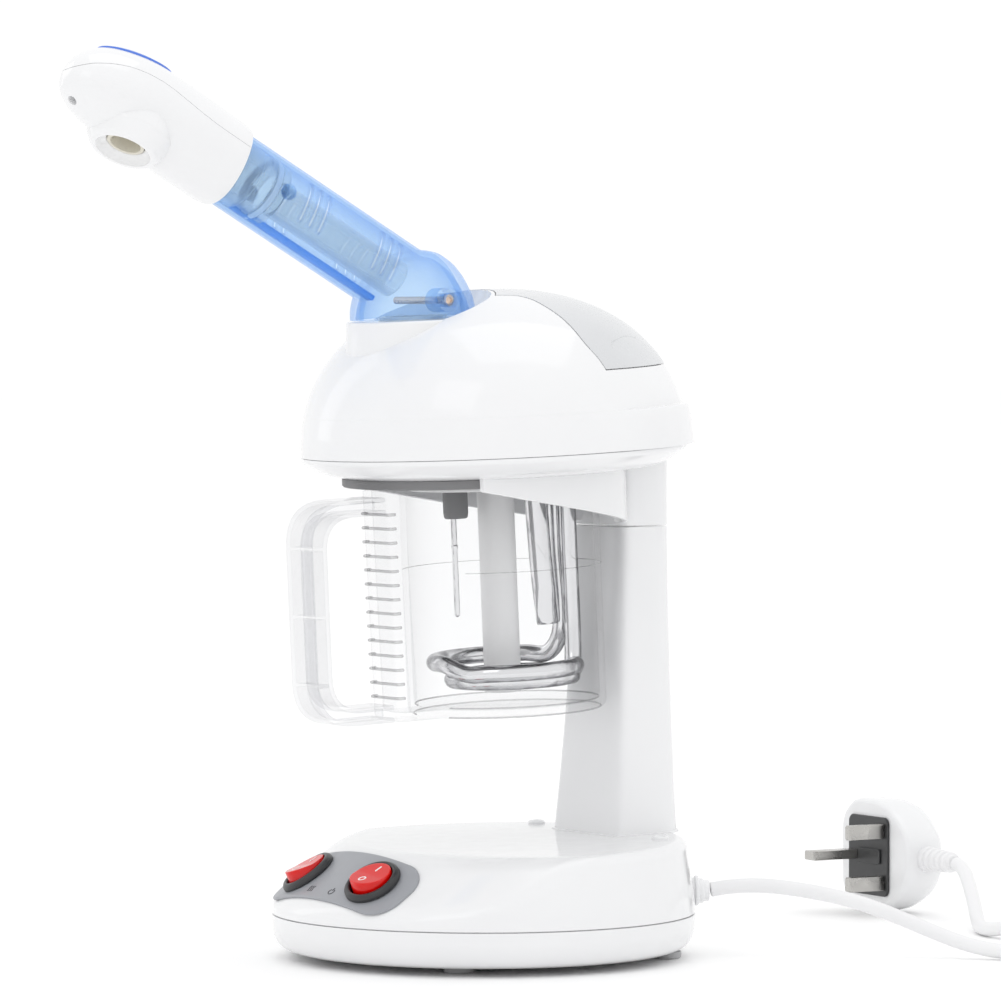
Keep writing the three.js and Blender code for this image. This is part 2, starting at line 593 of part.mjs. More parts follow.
function abovePod(shift) {
  const line = PARTING.map(([s, t]) => [-s, t + shift]);
  return solid(place(prism([...line, [-200, 60], [-90, 60]], -40, 40), [0, 0, 0], [0, 90, 0]));
}

function makeNozzle() {
  const spoutAxis = (geometry) => solid(place(geometry, [0, 0, SPOUT.s], [90, 0, 0]));
  const { lip, drop, sleeve } = SPOUT;
  const rim = [[0, 10], [lip + 1.6, 10], [lip + 1.2, 17.6], [lip, 20], [lip - 1.2, drop], [0, drop]];
  const cone = [[0, 16.6], [SPOUT.bore, 16.6], [lip - 3, drop + 0.4], [0, drop + 0.4]];
  const dish = spoutAxis(revolve(cone));
  const bore = spoutAxis(disc(SPOUT.bore, 5, 24, ROUND.medium));
  const pod = join(podSolid(0), spoutAxis(revolve(rim)));
  const throat = solid(disc(13.1, POD.start - 5, POD.start + 6, ROUND.medium));
  const tipHole = solid(place(disc(1.8, -6, 6, ROUND.tiny), [0, -12.5, 176.6], [58, 0, 0]));
  const shell = cut(pod, podSolid(POD.wall), dish, bore, throat);
  const inlayPocket = cut(inlayRegion(0.3), podSolid(1));
  node('nozzle_top_shell', cut(shell.intersect(abovePod(0.15)), inlayPocket), white, arm);
  node('nozzle_bottom_shell', cut(shell, abovePod(-0.15), tipHole), white, arm);
  node('nozzle_inlay', cut(podSolid(-0.9), podSolid(0.7)).intersect(inlayRegion(0)), blue, arm);
  node('spout_sleeve', spoutAxis(ring(sleeve - 1.2, sleeve + 0.2, 8, 17.4, ROUND.medium)), cream, arm);

  const { inner, root, grooveLow, grooveHigh } = NECK;
  const outer = ARM.radius - ARM.wall - 0.4;
  const groove = [[outer, grooveLow], [outer - 1.6, grooveLow], [outer - 1.6, grooveHigh], [outer, grooveHigh]];
  const end = POD.start + 7;
  node('nozzle_neck', revolve([[inner, root], [outer, root], ...groove, [outer, end], [inner, end], [inner, root]]),
    clear, arm);
  node('nozzle_seal', ring(outer - 1.3, outer + 0.1, grooveLow + 0.4, grooveHigh - 0.4, ROUND.medium), silicone, arm);
  node('steam_tube', ring(6.4, 7.6, 14, 78), silicone, arm);
}

// Upright oval prism around the inlay in the pod's top.
function inlayRegion(shrink) {
  const outline = Array.from({ length: ROUND.medium }, (_, i) => {
    const angle = (i / ROUND.medium) * TURN;
    return [(9.2 + shrink) * Math.cos(angle), (16.4 + shrink) * Math.sin(angle)];
  });
  return solid(place(prism(outline, 0, 40), [0, 4, 157.6], [-90, 0, 0]));
}

// ---- Jar ------------------------------------------------------------------------------------------------

// Jar outline at height z: a circle with a square-ended bay at the front; inset shifts it inwards.
function jarSection(z, inset) {
  const t = (z - JAR.bottom) / (JAR.top - JAR.bottom);
  const radius = JAR.radius - inset;
  const joinX = 11.5 + 10.2 * t - inset;
  const frontHalf = JAR.frontHalf - inset;
  const front = JAR.frontY + 1.3 * (1 - t) + inset;
  const startAngle = Math.asin(joinX / radius);
  const points = [];
  for (let i = 0; i <= 36; i += 1) {
    const angle = startAngle + (TURN - 2 * startAngle) * i / 36;
    points.push([radius * Math.sin(angle), JAR.y - radius * Math.cos(angle), z]);
  }
  const corner = 2.2;
  for (const side of [-1, 1]) {
    const bevel = [side * (frontHalf - 0.6), front + 0.6];
    const edge = [[side * frontHalf, front + corner], bevel, [side * (frontHalf - corner), front]];
    if (side > 0) edge.reverse();
    points.push(...edge.map(([x, y]) => [x, y, z]));
  }
  return points;
}

function makeJar() {
  const rings = [
    jarSection(JAR.bottom, 3.4), jarSection(JAR.bottom + 0.9, 1), jarSection(JAR.bottom + 3.2, 0),
    jarSection(JAR.top, 0), jarSection(JAR.top, JAR.wall),
    jarSection(JAR.bottom + 5.2, JAR.wall), jarSection(JAR.bottom + 3.2, JAR.wall + 1.6),
  ];
  node('jar_body', skin(rings), clear, head);

  // Handle: a loop in the middle plane, with its ends against the bay's front wall.
  const wallY = JAR.frontY - GAP;
  const loop = prism(
    [[wallY, HANDLE.top], ...arcPoints(HANDLE.outer + 24, HANDLE.top - 25, 24, 25, 90, 180),
      ...arcPoints(HANDLE.outer + 14, HANDLE.bottom + 16, 14, 16, 180, 270), [wallY + 0.9, HANDLE.bottom]],
    -HANDLE.half, HANDLE.half,
    [[[wallY - 3, HANDLE.top - 5], ...arcPoints(HANDLE.inner + 11, HANDLE.top - 20, 11, 14, 90, 180),
      ...arcPoints(HANDLE.inner + 10, HANDLE.bottom + 14, 10, 9, 180, 270), [wallY - 3, HANDLE.bottom + 5]]],
  );
  const upright = new THREE.Matrix4().makeBasis(
    new THREE.Vector3(0, 1, 0), new THREE.Vector3(0, 0, 1), new THREE.Vector3(1, 0, 0));
  node('jar_handle', loop.applyMatrix4(upright), clear, head);
}

function arcPoints(x, y, radiusX, radiusY, from, to, steps = 6) {
  return Array.from({ length: steps + 1 }, (_, i) => {
    const angle = degrees(from + (to - from) * i / steps);
    return [x + radiusX * Math.cos(angle), y + radiusY * Math.sin(angle)];
  });
}

// ---- Cord, coil and plug ----------------------------------------------------------------------------------

// A place given by its distance out along the cord's heading, the distance across it, and its height.
function route(out, across, up) {
  const angle = degrees(CORD.heading);
  return [
    out * Math.cos(angle) - across * Math.sin(angle),
    out * Math.sin(angle) + across * Math.cos(angle),
    up,
  ];
}

const CORD_ROUTE = [
  [91.2, 8.0, 26.1], [98, 8.4, 27.2], [108, 8.6, 27.8], [118, 8.2, 27.3], [128, 7.4, 26], [138, 6, 24.3],
  [148, 4.2, 22], [159, 1.8, 18.6], [170, -1.2, 14.4], [181, -4.6, 10], [192, -8.2, 6.2], [203, -11.8, 3.9],
  [214, -15, 3.1], [225, -17.4, 3], [234.4, -18.7, 3],
];
const LEAD_ROUTE = [
  [234.4, 59.1, 9], [225, 60.6, 7.2], [216, 65.2, 5], [209.4, 73, 3.5], [206.4, 84, 3.2], [206, 95, 4],
  [205.8, 105, 7], [205.2, 113.5, 12], [204, 121.5, 18], [202.3, 129.6, 23], [199.9, 136.2, 24.9],
];

// A shape made around Z, turned to point outwards at the gland, with z as the distance from the middle.
function glandPart(geometry) {
  return place(geometry, [0, 0, CORD.height], [0, 90, CORD.glandAngle]);
}

// A shape in the plug's own frame: x towards its cord, y up, z the way the pins point.
function plugPart(geometry) {
  const angle = degrees(CORD.heading + PLUG.heading);
  const toCord = new THREE.Vector3(Math.cos(angle), Math.sin(angle), 0);
  const up = new THREE.Vector3(0, 0, 1);
  const toPins = new THREE.Vector3().crossVectors(toCord, up);
  const frame = new THREE.Matrix4().makeBasis(toCord, up, toPins);
  frame.setPosition(...route(PLUG.out, PLUG.across, PLUG.half));
  return geometry.applyMatrix4(frame);
}

function makeCord() {
  const gland = [[0, 70], [4, 70], [4, 76], [5, 76], [5, 86.6], [4.8, 90], [4.2, 91], [0, 91]];
  node('cord_gland', glandPart(revolve(gland, ROUND.small)), white);
  const alongRoute = (points) => points.map((point) => route(...point));
  node('power_cord', rod(alongRoute(CORD_ROUTE), CORD.radius, 14, 10), white);
  node('plug_lead', rod(alongRoute(LEAD_ROUTE), CORD.radius, 10, 10), white);
  const [x, y] = route(COIL.out, COIL.across, 0);
  node('cord_coil', ring(COIL.inner, COIL.outer, 0.1, COIL.height, ROUND.large).translate(x, y, 0), white);
}

function makePlug() {
  const half = PLUG.half;
  const upper = [[half + 1, 9], [19, 17], [6, half - 1], [9 - half, half - 1], [-half, half - 9]];
  const outline = [[half + 1, -9], ...upper, [-half, 9 - half], [9 - half, 1 - half], [6, 1 - half], [19, -17]];
  const inset = outline.map(([x, y]) => [x * 0.86, y * 0.84]);
  const layer = (points, z) => points.map(([x, y]) => [x, y, z]);
  const body = skin([layer(outline, 0), layer(outline, -13), layer(inset, -PLUG.thick)]);
  node('plug_body', plugPart(body.translate(0, 0, PLUG.thick / 2)), white);
  const faceTop = PLUG.thick / 2 + GAP;
  const face = prism(roundedOutline(15, 17, 3, -2, 0), faceTop, faceTop + 1.2);
  node('plug_face', plugPart(face), black);
  const pinBase = faceTop + 1.2 + GAP;
  for (const [name, x, y, long, wide, reach] of PINS) {
    node(`plug_pin_${name}`, plugPart(box([long, wide, reach], [x, y, pinBase + reach / 2])), brass);
  }
  const relief = revolve([[0, half + 1.3], [5.4, half + 1.3], [4.2, half + 22], [0, half + 22]], ROUND.small);
  node('plug_relief', plugPart(place(relief, [0, 0, 0], [0, 90, 0])), white);
}

makeBase();
makePanel();
makeColumn();
makeDome();
makeHeadUnderside();
makeCradle();
makeHeater();
makeInnerHead();
makeElbow();
makeNozzle();
makeJar();
makeCord();
makePlug();

// The frame's origin is on the table, in the middle of the footprint of everything but the cord and plug.
const ON_THE_CORD = /^(power_cord|plug_|cord_)/;
const footprint = new THREE.Box3();
steamer.updateMatrixWorld(true);
steamer.traverse((item) => {
  if (item.isMesh && !ON_THE_CORD.test(item.name)) footprint.union(new THREE.Box3().setFromObject(item, true));
});
steamer.position.y = -(footprint.min.y + footprint.max.y) / 2;

export default steamer;
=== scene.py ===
"""Table-top facial steamer: the finished look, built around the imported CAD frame."""

import math

import bmesh
import bpy
from mathutils import Matrix, Vector


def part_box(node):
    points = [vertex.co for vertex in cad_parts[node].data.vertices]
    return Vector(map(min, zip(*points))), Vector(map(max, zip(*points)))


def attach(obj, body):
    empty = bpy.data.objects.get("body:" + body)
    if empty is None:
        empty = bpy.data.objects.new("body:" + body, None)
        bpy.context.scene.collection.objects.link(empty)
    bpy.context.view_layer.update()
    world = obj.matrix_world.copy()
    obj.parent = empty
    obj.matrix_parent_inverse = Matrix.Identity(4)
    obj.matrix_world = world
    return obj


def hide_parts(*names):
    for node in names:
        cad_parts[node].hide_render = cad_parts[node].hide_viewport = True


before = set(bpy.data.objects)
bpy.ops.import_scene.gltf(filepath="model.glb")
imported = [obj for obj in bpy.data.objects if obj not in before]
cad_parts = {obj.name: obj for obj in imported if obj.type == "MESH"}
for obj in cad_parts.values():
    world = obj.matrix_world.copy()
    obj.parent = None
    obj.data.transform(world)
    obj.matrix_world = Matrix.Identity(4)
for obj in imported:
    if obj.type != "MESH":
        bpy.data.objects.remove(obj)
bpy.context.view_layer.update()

MM = 0.001
TURN = 2 * math.pi
SIDES = ((-1, "left"), (1, "right"))

# ---- Frames: sizes are millimetres inside one of these ----

tray_low, tray_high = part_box("base_tray")
BASE_Y = (tray_low.y + tray_high.y) / 2


def shift(x, y, z):
    return Matrix.Translation(Vector((x, y, z)) * MM)


def turn(degrees, axis):
    return Matrix.Rotation(math.radians(degrees), 4, axis)


STAND = Matrix.Translation((0, BASE_Y, 0))
HEAD = STAND @ shift(0, 5, 203.5) @ turn(2.8, "X")
COLLAR_Y, COLLAR_TOP = -35.8, 53.8
COLLAR = HEAD @ shift(0, COLLAR_Y, 0)
ARM = HEAD @ shift(0, -31.35, 62.4) @ turn(57.7, "X")
PANEL_Y, PANEL_Z, PANEL_SLOPE = -67.7, 35.5, 35
PANEL = STAND @ shift(0, PANEL_Y, PANEL_Z) @ turn(PANEL_SLOPE, "X")
BEND = 140  # radius of the panel face, which is bent about its own slope line
JAR_Y = 1.3  # middle of the jar in the head's frame

# ---- Mesh tools ----


def in_scene(name, data):
    obj = bpy.data.objects.new(name, data)
    bpy.context.scene.collection.objects.link(obj)
    return obj


def mesh_object(name, points, faces, place=STAND):
    """One closed mesh from points in millimetres of the given frame."""
    shape = bmesh.new()
    corners = [shape.verts.new(place @ (Vector(point) * MM)) for point in points]
    for face in faces:
        ring = [corners[i] for i in face]
        if len(set(ring)) > 2:
            shape.faces.new(ring)
    bmesh.ops.remove_doubles(shape, verts=shape.verts, dist=2e-6)
    bmesh.ops.recalc_face_normals(shape, faces=shape.faces)
    mesh = bpy.data.meshes.new(name)
    shape.to_mesh(mesh)
    shape.free()
    return in_scene(name, mesh)


def rounded(corners, steps=5):
    """A polyline whose corners are rounded where they state a radius: (x, y) or (x, y, radius)."""
    path = []
    for i, corner in enumerate(corners):
        here = Vector(corner[:2])
        if len(corner) < 3 or i in (0, len(corners) - 1):
            path.append(tuple(here))
            continue
        before = Vector(corners[i - 1][:2]) - here
        after = Vector(corners[i + 1][:2]) - here
        reach = min(corner[2], 0.49 * before.length, 0.49 * after.length)
        start = here + before.normalized() * reach
        end = here + after.normalized() * reach
        for step in range(steps + 1):
            t = step / steps
            path.append(tuple(start * (1 - t) ** 2 + here * 2 * t * (1 - t) + end * t * t))
    return path


def circle(steps):
    """The cosine and sine at equal steps once round."""
    return [(math.cos(TURN * i / steps), math.sin(TURN * i / steps)) for i in range(steps)]


def spun_faces(count, steps):
    """Faces between neighbours among the copies of a profile of count points."""
    faces = []
    for i in range(steps):
        j = (i + 1) % steps
        for k in range(count - 1):
            faces.append((i * count + k, j * count + k, j * count + k + 1, i * count + k + 1))
    return faces


def lathe(name, profile, place=STAND, steps=96):
    """Solid of revolution about the frame's Z from (radius, height) points."""
    points = [(r * cos, r * sin, z) for cos, sin in circle(steps) for r, z in profile]
    return mesh_object(name, points, spun_faces(len(profile), steps), place)


def cylinder(name, radius, low, high, place, steps):
    return lathe(name, [(0, low), (radius, low), (radius, high), (0, high)], place, steps)


def ring_profile(inner, outer, low, high, soft=0.4):
    """Section of a ring, starting and ending half way up its bore."""
    middle = (low + high) / 2
    return rounded([(inner, middle), (inner, low, soft), (outer, low, soft), (outer, high, soft),
                    (inner, high, soft), (inner, middle)], 3)


def loft(name, rings, place=STAND, join_ends=False):
    """Closed skin through rings of equal point count."""
    count = len(rings[0])
    points = [point for ring in rings for point in ring]
    faces = []
    spans = len(rings) if join_ends else len(rings) - 1
    for row in range(spans):
        after = (row + 1) % len(rings)
        for i in range(count):
            j = (i + 1) % count
            faces.append((row * count + i, row * count + j, after * count + j, after * count + i))
    if not join_ends:
        faces.append(tuple(reversed(range(count))))
        faces.append(tuple((len(rings) - 1) * count + i for i in range(count)))
    return mesh_object(name, points, faces, place)


def prism(name, outline, low, high, place=STAND, edge=0.0):
    """Flat outline raised from low to high, with its rims rounded by edge."""
    count = len(outline)
    middle = Vector((sum(p[0] for p in outline) / count, sum(p[1] for p in outline) / count))
    levels = [(low, 0), (high, 0)]
    if edge:
        levels = [(low, edge), (low + edge, 0), (high - edge, 0), (high, edge)]
    rings = []
    for z, inset in levels:
        ring = []
        for x, y in outline:
            out = Vector((x, y)) - middle
            keep = 1 - inset / max(out.length, inset + 0.01)
            ring.append((middle.x + out.x * keep, middle.y + out.y * keep, z))
        rings.append(ring)
    return loft(name, rings, place)


def rounded_outline(half_x, half_y, radius, steps=8):
    """Closed rectangle with round corners."""
    outline = []
    for corner in range(4):
        side_x = 1 if corner in (0, 3) else -1
        side_y = 1 if corner < 2 else -1
        for step in range(steps + 1):
            angle = (corner + step / steps) * math.pi / 2
            outline.append((side_x * (half_x - radius) + radius * math.cos(angle),
                            side_y * (half_y - radius) + radius * math.sin(angle)))
    return outline


def refined(outline, step):
    """The closed outline again, with points no further apart than step."""
    dense = []
    for i, start in enumerate(outline):
        end = outline[(i + 1) % len(outline)]
        span_x, span_y = end[0] - start[0], end[1] - start[1]
        count = max(1, math.ceil(math.dist(start, end) / step))
        dense += [(start[0] + span_x * k / count, start[1] + span_y * k / count) for k in range(count)]
    return dense


def smooth_path(points, per_span=8):
    """Points along a centripetal curve through the given ones."""
    knots = [Vector(p) for p in points]
    knots = [2 * knots[0] - knots[1]] + knots + [2 * knots[-1] - knots[-2]]
    path = []
    for i in range(1, len(knots) - 2):
        p0, p1, p2, p3 = knots[i - 1:i + 3]
        t0 = 0.0
        t1 = t0 + (p1 - p0).length ** 0.5
        t2 = t1 + (p2 - p1).length ** 0.5
        t3 = t2 + (p3 - p2).length ** 0.5
        for step in range(per_span):
            t = t1 + (t2 - t1) * step / per_span
            a1 = p0.lerp(p1, (t - t0) / (t1 - t0))
            a2 = p1.lerp(p2, (t - t1) / (t2 - t1))
            a3 = p2.lerp(p3, (t - t2) / (t3 - t2))
            b1 = a1.lerp(a2, (t - t0) / (t2 - t0))
            b2 = a2.lerp(a3, (t - t1) / (t3 - t1))
            path.append(b1.lerp(b2, (t - t1) / (t2 - t1)))
    path.append(knots[-2])
    return path


TIP_SIZE, TIP_LENGTH = 0.86, 0.14  # a rod's softened end, as shares of its radius


def tube(name, path, radius, place=STAND, sides=24):
    """Round rod along a path, with softened ends."""
    heading = (path[1] - path[0]).normalized()
    side = heading.cross(Vector((0, 0, 1)))
    if side.length < 0.1:
        side = heading.cross(Vector((0, 1, 0)))
    side.normalize()
    last = len(path) - 1
    ends = {0: [(0, TIP_SIZE), (TIP_LENGTH, 1)], last: [(-TIP_LENGTH, 1), (0, TIP_SIZE)]}
    rings = []
    for i, point in enumerate(path):
        heading = (path[min(i + 1, last)] - path[max(i - 1, 0)]).normalized()
        side = (side - heading * side.dot(heading)).normalized()
        across = heading.cross(side)
        for along, size in ends.get(i, [(0, 1)]):
            centre = point + heading * along * radius
            rings.append([centre + (side * cos + across * sin) * radius * size
                          for cos, sin in circle(sides)])
    return loft(name, rings, place)


def bake(obj):
    """Applies every modifier."""
    solved = bpy.data.meshes.new_from_object(obj.evaluated_get(bpy.context.evaluated_depsgraph_get()))
    obj.modifiers.clear()
    obj.data = solved


def solve(obj, tools, operation="DIFFERENCE", keep=False):
    """Cuts, joins or intersects obj with the tools, which are removed unless kept."""
    for tool in tools:
        modifier = obj.modifiers.new("solid", "BOOLEAN")
        modifier.operation = operation
        modifier.solver = "MANIFOLD"
        modifier.object = tool
    bake(obj)
    if not keep:
        for tool in tools:
            bpy.data.objects.remove(tool)
    return obj


def bevel(obj, width, segments=2, angle=38):
    """Softens the edges that are sharper than the angle."""
    modifier = obj.modifiers.new("edges", "BEVEL")
    modifier.width = width * MM
    modifier.segments = segments
    modifier.limit_method = "ANGLE"
    modifier.angle_limit = math.radians(angle)
    return obj


def piece(obj, material, body, *nodes, sharp=33, weighted=False):
    """Gives a mesh its material and shading, and hangs it on its CAD body."""
    bake(obj)
    obj.data.materials.clear()
    obj.data.materials.append(material)
    obj.data.polygons.foreach_set("use_smooth", [True] * len(obj.data.polygons))
    obj.data.set_sharp_from_angle(angle=math.radians(sharp))
    if weighted:
        modifier = obj.modifiers.new("normals", "WEIGHTED_NORMAL")
        modifier.keep_sharp = True
    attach(obj, body)
    if nodes:
        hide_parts(*nodes)
    return obj


# ---- Materials ----


RELIEF_DEPTH = 0.0002


def with_inputs(node, inputs):
    for key, value in dict(inputs).items():
        node.inputs[key].default_value = value
    return node


class Nodes:
    """A material's node tree, with short calls for the nodes used here."""

    def __init__(self, name):
        self.material = bpy.data.materials.new(name)
        self.material.use_nodes = True
        self.tree = self.material.node_tree
        self.shader = self.tree.nodes["Principled BSDF"]
        self.output = self.tree.nodes["Material Output"]
        self.place = self.add("ShaderNodeTexCoord").outputs["Object"]

    def add(self, kind, inputs=(), **settings):
        node = self.tree.nodes.new(kind)
        for key, value in settings.items():
            setattr(node, key, value)
        return with_inputs(node, inputs)

    def link(self, source, target):
        self.tree.links.new(source, target)

    def noise(self, scale, detail=3.0):
        node = self.add("ShaderNodeTexNoise", {"Scale": scale, "Detail": detail})
        self.link(self.place, node.inputs["Vector"])
        return node.outputs["Fac"]

    def spread(self, value, low, high):
        """The middle of a noise's range, stretched over low to high."""
        node = self.add("ShaderNodeMapRange", {"From Min": 0.3, "From Max": 0.7, "To Min": low,
                                               "To Max": high})
        self.link(value, node.inputs["Value"])
        return node.outputs["Result"]

    def two_tone(self, value, first, second):
        node = self.add("ShaderNodeMix", {"A": (*first, 1), "B": (*second, 1)}, data_type="RGBA")
        self.link(value, node.inputs["Factor"])
        return node.outputs["Result"]

    def bump(self, value, strength):
        node = self.add("ShaderNodeBump", {"Strength": strength, "Distance": RELIEF_DEPTH})
        self.link(value, node.inputs["Height"])
        self.link(node.outputs["Normal"], self.shader.inputs["Normal"])





def solid_finish(name, tint, shade, rough, metallic=0.0, grain=900.0, relief=0.02, coat=0.0):
    """Moulded, cast or polished finish: faint colour and gloss variation and a fine surface relief."""
    nodes = Nodes(name)
    broad = nodes.noise(24.0)
    nodes.link(nodes.two_tone(nodes.spread(broad, 0, 1), tint, shade), nodes.shader.inputs["Base Color"])
    nodes.link(nodes.spread(nodes.noise(140.0), *rough), nodes.shader.inputs["Roughness"])
    nodes.bump(nodes.noise(grain), relief)
    with_inputs(nodes.shader, {"Metallic": metallic, "Coat Weight": coat})
    return nodes.material


def clear_finish(name, tint, glass, low, high, rough, blend=0.3):
    """See-through moulding: mostly clear face on, and more solid and shiny towards its edges, as clear
    plastic grows more reflective at a slant; where the colour showing there is grey, it is painted shade.
    """
    nodes = Nodes(name)
    shade = tuple(0.94 * c for c in tint)
    nodes.link(nodes.two_tone(nodes.spread(nodes.noise(30.0), 0, 1), tint, shade),
               nodes.shader.inputs["Base Color"])
    nodes.link(nodes.spread(nodes.noise(160.0), rough, rough * 1.8), nodes.shader.inputs["Roughness"])
    nodes.bump(nodes.noise(500.0), 0.02)
    through = nodes.add("ShaderNodeBsdfTransparent", {"Color": (*glass, 1)})
    edge = nodes.add("ShaderNodeLayerWeight", {"Blend": blend})
    amount = nodes.add("ShaderNodeMapRange", {"From Min": 0.05, "To Min": low, "To Max": high})
    nodes.link(edge.outputs["Facing"], amount.inputs["Value"])
    mix = nodes.add("ShaderNodeMixShader")
    nodes.link(amount.outputs["Result"], mix.inputs["Fac"])
    nodes.link(through.outputs["BSDF"], mix.inputs[1])
    nodes.link(nodes.shader.outputs["BSDF"], mix.inputs[2])
    nodes.link(mix.outputs["Shader"], nodes.output.inputs["Surface"])
    return nodes.material


def steel_with_painted_reflections(name):
    """Polished tube whose colour carries painted reflections: painted bright along its middle, painted dark
    towards its edges, and broken into patches by noise.
    """
    nodes = Nodes(name)
    edge = nodes.add("ShaderNodeLayerWeight", {"Blend": 0.42})
    # Noise and the facing angle together place the painted reflection: the pale tone is a painted
    # highlight, the dark tone a painted reflection of dark surroundings.
    painted_reflection_pattern = nodes.add("ShaderNodeMath", operation="ADD")
    nodes.link(nodes.spread(nodes.noise(120.0, 5.0), -0.22, 0.22), painted_reflection_pattern.inputs[0])
    nodes.link(edge.outputs["Facing"], painted_reflection_pattern.inputs[1])
    share = nodes.spread(painted_reflection_pattern.outputs["Value"], 0, 1)
    nodes.link(nodes.two_tone(share, (0.74, 0.74, 0.75), (0.2, 0.2, 0.21)),
               nodes.shader.inputs["Base Color"])
    nodes.link(nodes.spread(nodes.noise(260.0), 0.06, 0.2), nodes.shader.inputs["Roughness"])
    nodes.bump(nodes.noise(420.0), 0.05)
    with_inputs(nodes.shader, {"Metallic": 1.0})
    return nodes.material


WHITE = solid_finish("white_plastic", (0.825, 0.828, 0.836), (0.81, 0.813, 0.823), (0.07, 0.12),
                     relief=0.004)
CORD_WHITE = solid_finish("cord_white", (0.84, 0.84, 0.845), (0.8, 0.8, 0.81), (0.38, 0.5), relief=0.05)
PALE_GREY = solid_finish("pale_grey_plastic", (0.66, 0.67, 0.685), (0.62, 0.63, 0.645), (0.2, 0.3),
                         coat=0.2)
PANEL_GREY = solid_finish("grey_panel", (0.335, 0.345, 0.37), (0.31, 0.32, 0.345), (0.32, 0.42),
                          grain=1600.0)
DARK = solid_finish("dark_plastic", (0.032, 0.033, 0.035), (0.024, 0.025, 0.027), (0.3, 0.4),
                    grain=1400.0)
DARK_RUBBER = solid_finish("dark_grey_rubber", (0.2, 0.2, 0.205), (0.17, 0.17, 0.175), (0.5, 0.65),
                           relief=0.08)
GREY_RUBBER = solid_finish("grey_rubber", (0.5, 0.5, 0.51), (0.44, 0.44, 0.45), (0.6, 0.8), relief=0.12)
SILICONE = solid_finish("white_silicone", (0.8, 0.8, 0.8), (0.76, 0.76, 0.765), (0.4, 0.55), relief=0.06)
CREAM = solid_finish("cream_plastic", (0.72, 0.69, 0.6), (0.66, 0.63, 0.54), (0.4, 0.55), relief=0.06)
STEEL = steel_with_painted_reflections("stainless_steel")
COPPER = solid_finish("screw_steel", (0.7, 0.55, 0.45), (0.6, 0.47, 0.38), (0.15, 0.3), 1.0)
NICKEL = solid_finish("plug_pins", (0.55, 0.54, 0.52), (0.47, 0.46, 0.44), (0.22, 0.34), 1.0, 700.0, 0.05)
IRON = solid_finish("ballast_iron", (0.2, 0.2, 0.21), (0.14, 0.14, 0.15), (0.5, 0.7), 0.6, 300.0, 0.3)
BOARD = solid_finish("board_laminate", (0.03, 0.16, 0.07), (0.02, 0.12, 0.05), (0.35, 0.5))
MARK = solid_finish("white_marks", (0.92, 0.88, 0.87), (0.88, 0.84, 0.83), (0.35, 0.45))
INK = solid_finish("dark_marks", (0.05, 0.05, 0.055), (0.04, 0.04, 0.045), (0.4, 0.5))
BLUE = clear_finish("blue_translucent_plastic", (0.2, 0.44, 0.95), (0.9, 0.96, 1.0), 0.08, 0.72, 0.1, 0.24)
# A deeper blue, used as painted shade on the rib inside the arm's floor.
BLUE_WITH_PAINTED_SHADE = clear_finish("blue_plastic_painted_shade", (0.08, 0.32, 0.9), (0.5, 0.75, 1.0), 0.4, 0.9, 0.12)
INLAY_BLUE = solid_finish("inlay_blue", (0.07, 0.2, 0.75), (0.06, 0.17, 0.68), (0.08, 0.14), coat=0.5)
# The grey colour of the clear pieces is painted shade: it darkens their edges as dark surroundings seen in
# real clear plastic would.
CLEAR = clear_finish("clear_jar_plastic", (0.5, 0.5, 0.51), (0.992, 0.993, 0.995), 0.008, 0.62, 0.04, 0.1)
HANDLE = clear_finish("clear_handle_plastic", (0.5, 0.5, 0.51), (0.985, 0.986, 0.99), 0.02, 0.6, 0.04, 0.2)
EDGE = clear_finish("clear_rib_plastic", (0.4, 0.4, 0.41), (0.9, 0.9, 0.9), 0.12, 0.75, 0.05, 0.3)
FROST = clear_finish("frosted_plastic", (0.9, 0.91, 0.92), (0.97, 0.98, 0.98), 0.2, 0.7, 0.25)
LAMP = clear_finish("lamp_glass", (0.85, 0.87, 0.9), (0.98, 0.98, 1.0), 0.1, 0.6, 0.05)
RED = clear_finish("red_translucent_plastic", (0.8, 0.004, 0.002), (0.9, 0.03, 0.02), 0.85, 0.97, 0.08)

# ---- Camera ----

LENS, SENSOR = 215.8, 36
EYE = STAND @ (Vector((2016.5, -1301.4, 258)) * MM)
AIM = STAND @ (Vector((3.7, 5.7, 183)) * MM)
camera_data = bpy.data.cameras.new("camera")
camera_data.lens = LENS
camera_data.sensor_width = SENSOR
camera_data.clip_end = 30
camera = in_scene("camera", camera_data)
camera.location = EYE
camera.rotation_euler = (AIM - EYE).to_track_quat("-Z", "Y").to_euler()
bpy.context.scene.camera = camera

# ---- Cord, in (distance out, distance across, height) along its own heading ----

CORD_HEADING = math.radians(57)
CORD_RADIUS = 2.95
GLAND_ANGLE, GLAND_HEIGHT = 62, 25.8
COIL_OUT, COIL_ACROSS = 258, 20
COIL_RADII = (39.1, 33.0, 26.9)
COIL_LAYERS = (3.1, 9.1)
COIL_TURNS, COIL_STEPS = 5.5, 48
PLUG_OUT, PLUG_ACROSS, PLUG_HEADING, PLUG_HALF = 176, 178, -60, 25
CORD_ROUTE = [
    (91.2, 8.0, 26.1), (98, 8.4, 27.2), (108, 8.6, 27.8), (118, 8.2, 27.3), (128, 7.4, 26), (138, 6, 24.3),
    (148, 4.2, 22), (159, 1.8, 18.6), (170, -1.2, 14.4), (181, -4.6, 10), (192, -8.2, 6.2),
    (203, -11.8, 3.9), (214, -15, 3.1), (225, -17.4, 3.05), (234.4, -18.7, 3.05), (246, -19.1, 3.1),
]
